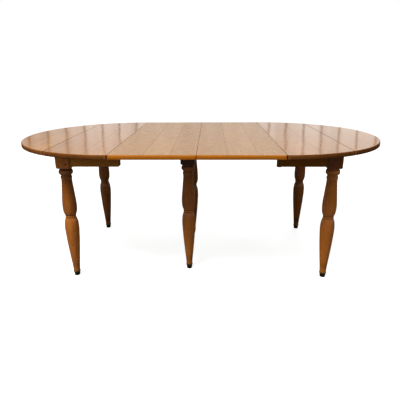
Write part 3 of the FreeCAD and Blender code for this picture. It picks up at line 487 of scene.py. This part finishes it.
def roundBoardLoop(inner, outer, look):
    # The outline of a piece of the round top between two straight seams, or from one seam to the rim, and
    # the radius of its upper edge: the nosing runs out to a small ease at the seams.
    radius, corner = look["radius"], look["corner"]
    start = -math.acos((inner + corner) / (radius - corner))
    lines = [(inner + corner, start, math.pi)]
    if outer:
        lines.append((outer - corner, -math.acos((outer - corner) / (radius - corner)), 0.0))
    near, far = lines[0], lines[-1]
    arcs, eases, channels = [], [], []

    def fillet(x, angle, first, last, ease):
        y = (radius - corner) * math.sin(angle)
        arcs.append(((x, y), corner, np.linspace(first, last, 7)))
        eases.append(np.linspace(*ease, 7))
        channels.append(np.zeros(7))

    def hingedSeam(x, way):
        # the barrels' channels in a seam: its points come in fours, just outside and inside each channel
        reach = look["hingeReach"] + np.array([2e-5, 0.0])
        fours = [[place - reach, place + reach[::-1]] for place in look["hingePlaces"]]
        y = np.concatenate(fours).reshape(-1)[::1 if way == 0 else -1]
        arcs.append((np.stack([np.full(len(y), x), y], axis=-1), 0.0, np.full(len(y), way)))
        eases.append(np.full(len(y), look["seamEase"]))
        channels.append(np.tile([0.0, 1.0, 1.0, 0.0], len(y) // 4) * look["channel"])

    def rim(first, last):
        runOut = look["runOut"] / radius
        angles = np.concatenate([[first], np.linspace(first + runOut, last - runOut, 90), [last]])
        arcs.append(((0.0, 0.0), radius, angles))
        # worked by hand, the nosing's radius varies a little
        ease = look["nosing"] * (1 + 0.07 * np.sin(angles * 9 + 1) + 0.05 * np.sin(angles * 23))
        ease[[0, -1]] = look["cornerEase"]
        eases.append(ease)
        channels.append(np.zeros(len(angles)))

    wide, fine = look["cornerEase"], look["seamEase"]
    fillet(near[0], near[1], -math.pi, near[1], (fine, wide))
    if outer:
        rim(near[1], far[1])
        fillet(far[0], far[1], far[1], 0.0, (wide, fine))
        hingedSeam(outer, 0.0)
        fillet(far[0], -far[1], 0.0, -far[1], (fine, wide))
        rim(-far[1], -near[1])
    else:
        rim(near[1], -near[1])
    fillet(near[0], -near[1], -near[1], math.pi, (wide, fine))
    if not outer:
        hingedSeam(inner, math.pi)
    points, inwards = roundLoop(arcs)
    return points, inwards, np.concatenate(eases), np.concatenate(channels)


def edgeQuads(grid, ease):
    # The quads below the middle of the upper rounding, where a board's edge begins.
    height = (grid[:-1, :, 2] + grid[1:, :, 2]) / 2
    return grid[..., 2].max() - height > boards["edgeStart"] * ease[None, :]


def edgeShade(grid, seam):
    # How much painted shade an edge gets: full in the seam between half and leaf, and less from its middle
    # down.
    low, high = grid[..., 2].min(), grid[..., 2].max()
    below = np.clip((0.5 - (grid[..., 2] - low) / (high - low)) * 1.6, 0, 0.7)
    meeting = np.clip(2.0 - np.abs(grid[..., 0] - seam) / boards["seamShade"], 0, 1)
    return np.maximum(below, meeting * (grid[..., 2] < high - 0.0004))


def addRoundBoards():
    look = boards
    gap = look["gap"] / 2
    for side, name in sides:
        for part, inner, outer in (("top", gap, look["seam"] - gap), ("flap", look["seam"] + gap, None)):
            points, inwards, over, channel = roundBoardLoop(inner, outer, look)
            grid = slab(points, inwards, look["underside"], look["top"], over,
                        np.minimum(look["underRound"], over), channel=channel)
            edge = edgeQuads(grid, over)
            paintedShade = edgeShade(grid, 0.0)
            grid[..., 0] += look["leaf"]
            if side < 0:
                grid[..., :2] *= -1
            form = Form()
            form.skin(grid, paintedShade, second=edge)
            body = {"top": f"{name}_half", "flap": f"{name}_folding_end"}[part]
            form.make(f"{name}_{part}_board", body, "top_wood", "halfTopWood halfEdgeWood underWood",
                      f"{name}_{part}")


def addLeaves():
    look = boards
    half, gap, corner = look["radius"], look["gap"] / 2, look["corner"]
    quarter = np.linspace(0, math.pi / 2, 7)
    rise = np.linspace(look["seamEase"], look["cornerEase"], 7)
    for side, name in sides:
        low, high = sorted((side * gap, side * (look["leaf"] - gap)))
        arcs, eases = [], []
        for x, y, start, ease in ((high - corner, corner - half, -math.pi / 2, rise[::-1]),
                                  (high - corner, half - corner, 0.0, rise),
                                  (low + corner, half - corner, math.pi / 2, rise[::-1]),
                                  (low + corner, corner - half, math.pi, rise)):
            arcs.append(((x, y), corner, quarter + start))
            eases.append(ease)
        points, inwards = roundLoop(arcs)
        over = np.concatenate(eases)
        # Points along the front and the back, where the nosing keeps its full radius: before the two
        # right corners and before the two left ones
        front = np.linspace(low + look["runOut"], high - look["runOut"], 24)
        frontPoints = np.stack([front, np.full(len(front), -half)], axis=-1)
        frontInwards = np.tile([0.0, 1.0], (len(front), 1))
        full = look["leafNosing"] * (1 + 0.05 * np.sin(front * 31) + 0.04 * np.sin(front * 73))
        right = 2 * len(quarter)
        points = np.concatenate([frontPoints, points[:right], frontPoints[::-1] * [1, -1], points[right:]])
        inwards = np.concatenate([frontInwards, inwards[:right], -frontInwards, inwards[right:]])
        over = np.concatenate([full, over[:right], full[::-1], over[right:]])
        grid = slab(points, inwards, look["leafUnderside"], look["top"], over,
                    np.minimum(look["underRound"], over), 9)
        form = Form()
        form.skin(grid, edgeShade(grid, side * look["leaf"]), second=edgeQuads(grid, over))
        form.make(f"{name}_leaf_board", f"{name}_leaf_body", "leaf_wood", "leafWood leafEdgeWood underWood",
                  f"{name}_leaf")


addRoundBoards()
addLeaves()
print("boards made")


# Legs


legs = {
    "corner": (682.98, 352.98), "middle": (-57, 262.98),
    "half": 38.5, "chamfer": 8, "sharpness": 70, "blockBottom": 616.5, "top": 708, "trestleTop": 707.6,
    "bottomBevel": 4, "topBevel": 0.8,
    # From the spigot in the ferrule up to the block: height and radius, and for the beads their lowest and
    # highest point, the radius under them and how far they stand out
    "spigot": [(8.1, 12.9), (29.8, 12.9)],
    "lowerBulb": [(30, 17.0), (34, 17.2), (51, 18.2), (70, 19.8), (106, 23.4), (143, 26.9), (178, 30.2),
                  (214, 33.0), (249, 35.3), (267, 36.4), (284, 37.0), (301, 36.7), (319, 34.9), (329, 32.9),
                  (337, 30.4), (343, 28.2), (347.4, 26.8)],
    "waistBead": (348.4, 357.4, 26.2, 1.9),
    "upperBulb": [(358.2, 26.6), (362, 29.0), (370, 32.3), (378, 34.3), (386, 35.5), (403, 36.7),
                  (420, 36.6), (436.5, 35.8), (453, 34.6), (469, 33.1), (486, 31.8), (502, 30.4), (518, 29.0),
                  (534, 27.6), (550, 26.8), (555.6, 26.6)],
    "fillet": [(556.2, 27.7), (559.4, 27.7)],
    "smallBead": (559.8, 571.2, 27.0, 2.2),
    "cove": [(571.6, 26.7), (577, 26.8), (580.4, 27.8), (582.6, 29.7)],
    "collarFoot": [(582.9, 30.6), (583.3, 30.9)],
    "collar": (583.4, 605.6, 31.2, 4.6),
    "neck": [(606.2, 31.4), (613.5, 31.4), (615.3, 31.9), (616.2, 33.0)],
    # Each leg is cut from its own piece of the stock, turned a little
    "stockTurn": 2.4, "stockStep": (0.013, 0.0, 0.9),
    # Painted shade in the hollows of the turning: over how many rows up and down they are judged, and how
    # deep is full
    "hollowReach": 9, "hollowStart": 0.2, "hollowDepth": 2.6,
    # How much painted shade each leg gets below the waist, above it and on its block, and where the one
    # becomes the other
    "waist": (340, 60),
    "paintedLegShade": {
        "left_front_leg": (0.0, 0.4, 0.0), "left_back_leg": (0.55, 0.6, 0.3),
        "right_front_leg": (0.0, 0.0, 0.75), "right_back_leg": (0.5, 0.5, 0.6),
        "centre_leg_front": (0.0, 0.34, 0.95), "centre_leg_back": (0.45, 0.5, 0.95),
    },
}


def legAngles():
    # Angles that crowd at the corners of the block, so that its chamfers are true.
    eighth = np.array([0, 6, 12, 18, 24, 30, 34, 36.5, 38.4, 40.3, 42.5])
    quarter = np.concatenate([eighth, [45], 90 - eighth[:0:-1]])
    return np.radians(np.concatenate([quarter + 90 * step for step in range(4)]))


def blockRadius(angles, half, chamfer, sharpness):
    # How far the side of a square with cut corners is from its middle, at each angle. The sum of high
    # powers rounds its corners a little.
    c, s = np.abs(np.cos(angles)), np.abs(np.sin(angles))
    reach = (c / half)**sharpness + (s / half)**sharpness
    reach += ((c + s) / (2 * half - chamfer))**sharpness
    return reach**(-1 / sharpness)


def legRows():
    # The turned profile up to the block, as rows of radius and height.
    look = legs

    def swapped(points, steps=1):
        return curve([(radius, height) for height, radius in points], steps)

    return np.concatenate([
        swapped(look["spigot"]), swapped(look["lowerBulb"], 5), bead(*look["waistBead"]),
        swapped(look["upperBulb"], 5), swapped(look["fillet"]), bead(*look["smallBead"]),
        swapped(look["cove"], 5), swapped(look["collarFoot"]), bead(*look["collar"], 20),
        swapped(look["neck"])])


def legGrid(paintedLegShade, top):
    # A leg on the upright axis, its turned part and its block, and how much painted shade each of its points
    # gets.
    look = legs
    angles, rows = legAngles(), legRows()
    bottom, bevel, ease = look["blockBottom"], look["bottomBevel"], look["topBevel"]
    arc = np.linspace(0, math.pi / 2, 7)
    inset = np.concatenate([bevel * (1 - np.sin(arc)), [0.0, 0.0], ease * (1 - np.cos(arc[::2]))])
    height = np.concatenate([bottom + bevel * (1 - np.cos(arc)), [bottom + bevel + 1, top - 2.0],
                             top - ease * (1 - np.sin(arc[::2]))])
    square = blockRadius(angles, look["half"], look["chamfer"], look["sharpness"])
    block = turn(np.stack([1 - inset / look["half"], height], axis=-1), angles)
    block[..., :2] *= square[:, None]
    local = np.concatenate([turn(rows, angles), block])
    # How much a row's radius lies below the mean of its neighbours up and down
    reach = look["hollowReach"]
    window = np.full(2 * reach + 1, 1 / (2 * reach + 1))
    mean = np.convolve(np.pad(rows[:, 0], reach, mode="edge"), window, mode="valid")
    paintedShade = np.clip((mean - rows[:, 0] - look["hollowStart"]) / look["hollowDepth"], 0, 0.95)
    low, high, onBlock = paintedLegShade
    start, length = look["waist"]
    fade = np.clip((rows[:, 1] - start) / length, 0, 1)
    paintedShade = np.concatenate([paintedShade + low * (1 - fade) + high * fade, np.full(len(height), onBlock)])
    return local, np.broadcast_to(paintedShade[:, None], local.shape[:2])


def addLegs():
    (cornerX, cornerY), (middleX, middleY) = legs["corner"], legs["middle"]
    places = []
    for side, name in sides:
        for back, end in ends:
            places.append((f"{name}_{end}_leg", f"{name}_half", side * cornerX, back * cornerY, legs["top"]))
    for back, end in ends:
        places.append((f"centre_leg_{end}", "trestle", middleX, back * middleY, legs["trestleTop"]))
    for number, (node, body, x, y, top) in enumerate(places):
        local, paintedShade = legGrid(legs["paintedLegShade"][node], top)
        stock = spun(local, number * legs["stockTurn"]) * mm + number * np.array(legs["stockStep"])
        form = Form()
        form.skin(placed(local, x, y, 0), paintedShade, stock=stock)
        form.make(f"{node}_turning", body, "leg_wood", "legWood", node)


addLegs()
print("legs made")


# Ferrules


ferrules = {
    # radius and height: under the foot, up the cup, round the rim, and down into the socket
    "profile": [(10.5, 0.0), (12.2, 0.15), (13.6, 1.0), (14.4, 2.6), (14.7, 5.0), (15.4, 11.0), (16.2, 18.0),
                (16.6, 20.6), (17.2, 21.3), (17.9, 21.7), (18.35, 22.6), (18.5, 23.8), (18.5, 26.0),
                (18.4, 28.0), (18.1, 29.2), (17.5, 29.9), (16.8, 30.0), (13.4, 30.0), (13.05, 29.6),
                (13.0, 20.0), (13.0, 8.0)],
    # How bright the brass is at each row: rubbed under the foot, and round the rim rubbed and also a painted
    # highlight
    "wearAndHighlight": [0.7, 0.7, 0.7, 0.5, 0.2, 0.0, 0.0, 0.1, 0.4, 0.8, 1.0, 0.9, 0.6, 0.9, 1.0, 1.0, 0.6, 0, 0, 0, 0],
}


def addFerrules():
    grid = turn(np.array(ferrules["profile"]), evenly(56))
    wearAndHighlight = np.array(ferrules["wearAndHighlight"])[:, None]
    (cornerX, cornerY), (middleX, middleY) = legs["corner"], legs["middle"]
    for name, body, x, y in (("left", "left_half", -cornerX, cornerY),
                             ("right", "right_half", cornerX, cornerY),
                             ("centre", "trestle", middleX, middleY)):
        form = Form()
        for back in (-1, 1):
            form.skin(placed(grid, x, back * y, 0), wearAndHighlight=wearAndHighlight)
        form.make(f"{name}_ferrules_brass", body, "antique_brass", "antiqueBrass", f"{name}_ferrules")


addFerrules()
print("ferrules made")


# Pegs: end grain discs that stand a little proud of the leg blocks


pegs = {
    "radius": 4.0, "proud": 0.7, "length": 46,
    # The face of each end, from its rim to its middle: shares of the radius and of how far it stands out
    "face": [(1.0, 0.3), (0.94, 0.6), (0.8, 0.82), (0.55, 0.95), (0.2, 1.0)],
    "onSides": (665.98, 391.48), "onEnds": (721.48, 335.98), "heights": (639.5, 685.5),
    "onBeamLeg": (-18.5, 243.48, 637.8),
}


def aimed(grid, place, way):
    # Turns a form that points up so that it points along a level direction, and puts it in its place.
    matrix = np.array(Vector((0, 0, 1)).rotation_difference(Vector((*way, 0.0))).to_matrix())
    return placed(grid @ matrix.T, *place)


def addPegs():
    look = pegs
    r, proud, length = look["radius"], look["proud"], look["length"]
    shaft = [(r * 0.97, -length), (r, -length + 0.5), (r, -0.2)]
    grid = turn(np.array(shaft + [(r * out, proud * up) for out, up in look["face"]]), evenly(28))
    (sideX, sideY), (endX, endY), (beamX, beamY, beamZ) = look["onSides"], look["onEnds"], look["onBeamLeg"]
    for side, name in sides:
        form = Form()
        for back in (-1, 1):
            for height in look["heights"]:
                form.skin(aimed(grid, (side * sideX, back * sideY, height), (0, back)))
                form.skin(aimed(grid, (side * endX, back * endY, height), (side, 0)))
        form.make(f"{name}_rail_peg_ends", f"{name}_half", "peg_wood", "pegWood", f"{name}_rail_pegs")
    form = Form()
    for back in (-1, 1):
        form.skin(aimed(grid, (beamX, back * beamY, beamZ), (1, 0)))
    form.make("beam_peg_ends", "trestle", "peg_wood", "pegWood", "beam_pegs")


addPegs()
print("pegs made")


# Screws: round and flat heads with a slot, all seen from below


screws = {
    # The shank's radius and length, half the slot's width and the height of its floor, and the head as radius
    # and height from its bearing face
    "round": {"shank": 2.0, "depth": 31.0, "slot": 0.5, "floor": 1.0,
              "head": [(3.85, 0.0), (4.0, 0.25), (3.9, 0.7), (3.5, 1.2), (2.9, 1.6), (2.1, 1.85), (1.2, 1.97),
                       (0.6, 2.0), (0.3, 2.0)]},
    "flat": {"shank": 1.2, "depth": 8.0, "slot": 0.42, "floor": -0.5,
             "head": [(1.6, -1.6), (3.0, -0.35), (3.2, -0.08), (3.1, 0.06), (2.4, 0.1), (1.4, 0.12),
                      (0.6, 0.13), (0.3, 0.13)]},
}


def screwGrid(look, turned):
    # A slotted screw that points down: each ring has its own angles, from one edge of the slot to the other,
    # and at an edge there are two points, one on the head and one on the slot's floor.
    shank, depth, head = look["shank"], look["depth"], look["head"]
    profile = [(shank * 0.4, -depth), (shank, -depth * 0.8), (shank, head[0][1] - 0.01)] + head
    rows = []
    for number, (radius, height) in enumerate(profile):
        edge = math.acos(min(look["slot"] / radius, 1.0))
        right = np.linspace(-edge, edge, 11)
        over = np.linspace(edge, math.pi - edge, 4)
        angles = np.concatenate([right, over, right + math.pi, over + math.pi])
        inSlot = np.concatenate([np.zeros(11), np.ones(4)] * 2) * (number > 2)
        tall = np.where(inSlot > 0, np.minimum(height, look["floor"]), height)
        rows.append(np.stack([radius * np.cos(angles), radius * np.sin(angles), tall], axis=-1))
    return spun(np.stack(rows), turned) * np.array([1, -1, -1])


screwPlaces = {
    "top": [(461.4, 339.48), (581.0, 339.48), (669.48, 69.6)],
    "leaf": [(95.0, 329.48), (305.0, 329.48)],
    "topFace": 688.0, "leafFace": 688.4,
}


def addScrews():
    for side, name in sides:
        for part, body in (("top", f"{name}_half"), ("leaf", f"{name}_leaf_body")):
            form = Form()
            places = [(side * x, back * y) for x, y in screwPlaces[part] for back in (-1, 1)]
            for number, (x, y) in enumerate(places, 1):
                form.skin(placed(screwGrid(screws["round"], number * 1.3), x, y, screwPlaces[part + "Face"]))
            form.make(f"{name}_{part}_screw_heads", body, "screw_steel", "screwSteel",
                      f"{name}_{part}_screws")


addScrews()
print("screws made")


# Hinges of the folding ends: plates let in under the boards, rolled knuckles and a pin


hinges = {
    "axis": 722.98, "underside": 708.0, "proud": 0.15, "plate": 2.2, "width": 30.0, "half": 30.0,
    "shoulder": 4.6, "middle": 9.9, "gap": 0.4, "barrel": 4.0, "bore": 2.05, "barrelEase": 0.5,
    "pin": 2.0, "pinHalf": 29.2, "pinRise": 0.8, "tongue": (0.5, 6.0), "tongueFoot": 0.4,
    # How far the edges are eased, and the radius of the corners
    "plateEdge": (0.25, 1.2), "tongueEdge": (0.15, 0.3),
    "screwsAcross": 17.5, "screwsAlong": [-22.0, 0.0, 22.0], "screwShift": 6.0,
}


def knuckle(low, high, radius, bore):
    # A rolled tube on the Y axis: its wall's profile goes out over one end, along it and in at the other.
    ease = hinges["barrelEase"]
    arc = np.linspace(0, math.pi / 2, 4)
    outside = np.concatenate([
        np.stack([radius - ease + ease * np.sin(arc), low + ease - ease * np.cos(arc)], axis=-1),
        np.stack([radius - ease + ease * np.cos(arc), high - ease + ease * np.sin(arc)], axis=-1)])
    profile = np.concatenate([[(bore, low)], outside, [(bore, high)]])
    return lying(turn(profile, evenly(32)))


def hingeSkins(form, side, place, look, moving):
    # side is where the plate reaches from the axis. Every skin is made for +1 and turned half round for -1.
    half, middle, gap = look["half"], look["middle"], look["gap"]
    low, high = -look["proud"], look["plate"]
    skins = [box((look["shoulder"], -half, low), (look["width"], half, high), *look["plateEdge"])]
    tubes = []
    spans = [(-middle, middle)] if moving else [(-half, -middle - gap), (middle + gap, half)]
    (near, far), foot = look["tongue"], look["tongueFoot"]
    for start, end in spans:
        skins.append(box((near, start + 0.2, foot), (far, end - 0.2, high), *look["tongueEdge"]))
        tubes.append(knuckle(start, end, look["barrel"], look["bore"]))
    for number, along in enumerate(look["screwsAlong"]):
        across = look["screwsAcross"] + (look["screwShift"] if number % 2 else 0)
        skins.append(screwGrid(screws["flat"], number * 1.9 + across) + np.array([across, along, low]))
    for grid, isTube in [(skin, False) for skin in skins] + [(tube, True) for tube in tubes]:
        form.skin(placed(grid * np.array([side, side, 1]), *place), wearAndHighlight=0.35, ring=isTube)


def addHinges():
    look = hinges
    end = np.linspace(0, math.pi / 2, 5)
    cap = np.stack([look["pin"] * np.cos(end), look["pinHalf"] + look["pinRise"] * np.sin(end)], axis=-1)[:-1]
    pin = lying(turn(np.concatenate([cap[::-1] * [1, -1], cap]), evenly(20)))
    for side, name in sides:
        fixed, moving, pins = Form(), Form(), Form()
        for along in boards["hingePlaces"]:
            place = (side * look["axis"], along / mm, look["underside"])
            hingeSkins(fixed, -side, place, look, False)
            hingeSkins(moving, side, place, look, True)
            pins.skin(placed(pin, *place), wearAndHighlight=0.6)
        for form, piece, body, node in ((fixed, "hinge_leaves", "half", "hinge_plates"),
                                        (moving, "flap_hinge_leaves", "folding_end", "flap_hinge_plates"),
                                        (pins, "hinge_pin_rods", "half", "hinge_pins")):
            form.make(f"{name}_{piece}", f"{name}_{body}", "antique_brass", "hingeBrass", f"{name}_{node}")


addHinges()
print("hinges made")


# Blocks at the free ends of the side rails, with worn round edges


# The left end blocks take the painted lit copy of the rails' wood, the right ones the painted shaded copy
endBlocks = {"ease": 2.5, "corner": 3.0, "x": (400.4, 422.4), "y": (329.5, 354.5),
             "wood": {"left": "litSideRailWood", "right": "shadedSideRailWood"}}


def addEndBlocks():
    look = endBlocks
    for side, name in sides:
        node = f"{name}_rail_end_blocks"
        low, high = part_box(node)
        form = Form()
        for back in (-1, 1):
            x0, x1 = sorted(side * value for value in look["x"])
            y0, y1 = sorted(back * value for value in look["y"])
            form.skin(box((x0, y0, low[2] / mm), (x1, y1, high[2] / mm), look["ease"], look["corner"]) * mm)
        form.make(f"{name}_rail_stops", f"{name}_half", "inner_wood", look["wood"][name], node)


addEndBlocks()
print("end blocks made")


# CAD nodes that keep their shape and get a finish


nodeFinishes = {
    # Left rails in the painted lit copy of their wood, right rails in the painted shaded copy
    "litSideRailWood": ["left_front_rail", "left_back_rail"],
    "shadedSideRailWood": ["right_front_rail", "right_back_rail"],
    "endRailWood": ["left_end_rail", "right_end_rail"],
    "runnerWood": ["middle_runner_front", "middle_runner_back", "middle_runner_keys",
                   *(f"{name}_{end}_{part}" for side, name in sides for back, end in ends
                     for part in ("runner", "bearer")),
                   *(f"{name}_{part}" for side, name in sides
                     for part in ("runner_keys", "bearer_guides", "leaf_battens", "top_buttons"))],
    "beamWood": ["centre_cross_beam"],
}

for finish, names in nodeFinishes.items():
    for name in names:
        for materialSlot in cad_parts[name].material_slots:
            materialSlot.material = finishes[finish]
print("CAD nodes finished")


# Camera, from a pinhole fitted to the photograph's corners, seams and legs


camera = {"focus": 389.76, "place": (0.0610, -2.2914, 1.0752), "pitch": 0.3158, "yaw": -0.0271,
          "roll": -0.0056, "width": 400, "sensor": 36.0}


def addCamera(look):
    pitch, yaw, roll = look["pitch"], look["yaw"], look["roll"]
    ahead = Vector((math.sin(yaw) * math.cos(pitch), math.cos(yaw) * math.cos(pitch), -math.sin(pitch)))
    level = Vector((math.cos(yaw), -math.sin(yaw), 0.0))
    above = level.cross(ahead)
    right = math.cos(roll) * level + math.sin(roll) * above
    up = math.cos(roll) * above - math.sin(roll) * level
    lens = bpy.data.cameras.new("camera")
    lens.lens = look["focus"] * look["sensor"] / look["width"]
    lens.sensor_width = look["sensor"]
    lens.clip_start = 0.05
    lens.clip_end = 100
    matrix = Matrix((right, up, -ahead)).transposed().to_4x4()
    matrix.translation = Vector(look["place"])
    eye = newObject("camera", lens)
    eye.matrix_world = matrix
    bpy.context.scene.camera = eye


addCamera(camera)


# Stage: a pale floor, a white background, a room for the varnish to mirror, and soft lights


white = (1.0, 1.0, 1.0, 1.0)
ground = {"half": 14.0, "colour": tone(110, 108, 106), "shade": (0.4, 0.4, 0.4, 1.0),
          "glow": 0.86, "farGlow": 0.15, "fadeStart": 0.9, "fade": 1.5}
room = {"dim": 0.05, "dimColour": (1.0, 0.995, 0.985, 1.0), "colour": (1.0, 0.97, 0.93, 1.0),
        "bands": 13.0, "bandShift": 2.2, "bandDepth": 0.6, "bandMean": 1.01, "bandSlope": 0.17,
        "wallMiddle": 0.02, "wallStart": 0.395, "wallEdge": 0.06, "wallDepth": 0.42,
        "waver": 0.02, "waverTurns": (6, 38), "panelShift": -0.355, "panelWidth": 0.0419,
        "lineWidth": 0.0036, "lineDepth": 0.9}
warm = (1.0, 0.985, 0.96)  # unless a lamp names its colour
lamps = {
    "highKey": {"place": (-1.8, -2.6, 4.4), "aim": (0.0, 0.0, 0.4), "size": (1.6, 1.3), "power": 240},
    # Lamps as low as the next four aren't mirrored, because the top would show them as white patches. The
    # last two of them fill the shade behind.
    "windowLeft": {"place": (-3.2, -2.5, 1.9), "aim": (0.0, 0.0, 0.5), "size": (1.8, 2.2), "power": 40,
                   "mirrored": False},
    "windowRight": {"place": (3.0, -2.2, 1.5), "aim": (0.5, 0.0, 0.4), "size": (1.2, 1.6), "power": 24,
                    "mirrored": False},
    "backLeft": {"place": (-3.3, 2.3, 1.3), "aim": (-0.4, 0.3, 0.4), "size": (1.2, 1.4), "power": 26,
                 "mirrored": False},
    "backRight": {"place": (3.3, 2.3, 1.3), "aim": (0.4, 0.3, 0.4), "size": (1.2, 1.4), "power": 26,
                  "mirrored": False},
    "skyAbove": {"place": (0.6, 0.6, 4.2), "aim": (0.0, 0.0, 0.7), "size": (3.4, 2.4), "power": 14,
                 "colour": (1.0, 0.99, 0.97)},
    "backWindow": {"place": (1.6, 3.3, 4.4), "aim": (0.0, 0.0, 0.4), "size": (1.8, 1.6), "power": 60,
                   "colour": (0.98, 0.99, 1.0)},
}


def seenRays(finish):
    # 1 for the rays that show the background straight from the camera or through glass. Varnish and brass
    # mirror the floor's plain colour and the room instead.
    straight = finish.add("LightPath", {}, {}, "Is Camera Ray")
    through = finish.add("LightPath", {}, {}, "Is Transmission Ray")
    return (straight + through).clamped()


def addFloor(look):
    mesh = bpy.data.meshes.new("floor")
    half = look["half"]
    corners = [(x * half, y * half, 0.0) for x, y in ((-1, -1), (1, -1), (1, 1), (-1, 1))]
    mesh.from_pydata(corners, [], [(0, 1, 2, 3)])
    newObject("floor", mesh)
    finish = Finish(bpy.data.materials.new("paleFloor"))
    plain = finish.add("BsdfDiffuse", {}, {"Color": look["colour"]})
    shade = finish.add("BsdfDiffuse", {}, {"Color": look["shade"]})
    x, y, z = finish.parts(finish.place())
    away = (((x * x + y * y).root() - look["fadeStart"]) / look["fade"]).clamped()
    glow = finish.add("Emission", {}, {"Color": white, "Strength": away * look["farGlow"] + look["glow"]})
    seen = finish.add("AddShader", {}, {0: shade, 1: glow})
    finish.close(finish.add("MixShader", {}, {0: seenRays(finish), 1: plain, 2: seen}))
    mesh.materials.append(finish.owner)


def addWorld(look):
    world = bpy.data.worlds.new("studio")
    bpy.context.scene.world = world
    finish = Finish(world)
    dim = finish.add("Background", {}, {"Color": look["dimColour"], "Strength": look["dim"]})
    pale = finish.add("Background", {}, {"Color": white, "Strength": 1.0})
    mixed = finish.add("MixShader", {}, {0: seenRays(finish), 1: dim, 2: pale})
    # Varnish mirrors a pale room of soft upright bands, brighter to the right, between dark walls
    x, y, z = finish.parts(finish.add("TexCoord", {}, {}, "Generated"))
    around = x.maths("ARCTAN2", y)
    flat = (x * x + y * y + 1e-6).root()
    sine, cosine = x / flat, y / flat
    band = finish.noise(finish.vector(sine * look["bands"] + look["bandShift"], cosine, 0.0), 2.0, 0.6)
    bright = ((band - 0.35) * 3.0).clamped() * look["bandDepth"] + (look["bandMean"] - look["bandDepth"] / 2)
    inWall = ((around - look["wallMiddle"]).size() - look["wallStart"]) / look["wallEdge"]
    bright = bright + sine * look["bandSlope"] - inWall.clamped() * look["wallDepth"]
    # Its panels meet at dark upright lines, and the varnish makes their mirror image waver
    level, upright = look["waverTurns"]
    waver = finish.noise(finish.vector(around * level, z * upright, 0.0), 1.0) - 0.5
    phase = (around + waver * look["waver"] - look["panelShift"]) / look["panelWidth"]
    fromLine = (0.5 - (phase.fraction() - 0.5).size()) * look["panelWidth"]
    bright = bright * (1 - (1 - fromLine / look["lineWidth"]).clamped() * look["lineDepth"])
    inside = finish.add("Background", {}, {"Color": look["colour"], "Strength": bright})
    glossy = finish.add("LightPath", {}, {}, "Is Glossy Ray")
    finish.close(finish.add("MixShader", {}, {0: glossy, 1: mixed, 2: inside}), "OutputWorld")


def addLamps():
    for name, look in lamps.items():
        light = bpy.data.lights.new(name, "AREA")
        light.shape = "RECTANGLE"
        light.size, light.size_y = look["size"]
        light.energy = look["power"]
        light.color = look.get("colour", warm)
        lamp = newObject(name, light)
        lamp.visible_glossy = look.get("mirrored", True)
        place, aim = Vector(look["place"]), Vector(look["aim"])
        turned = (aim - place).to_track_quat("-Z", "Y")
        lamp.matrix_world = Matrix.Translation(place) @ turned.to_matrix().to_4x4()


addFloor(ground)
addWorld(room)
addLamps()
bpy.context.scene.view_settings.view_transform = "Standard"
print("stage set")
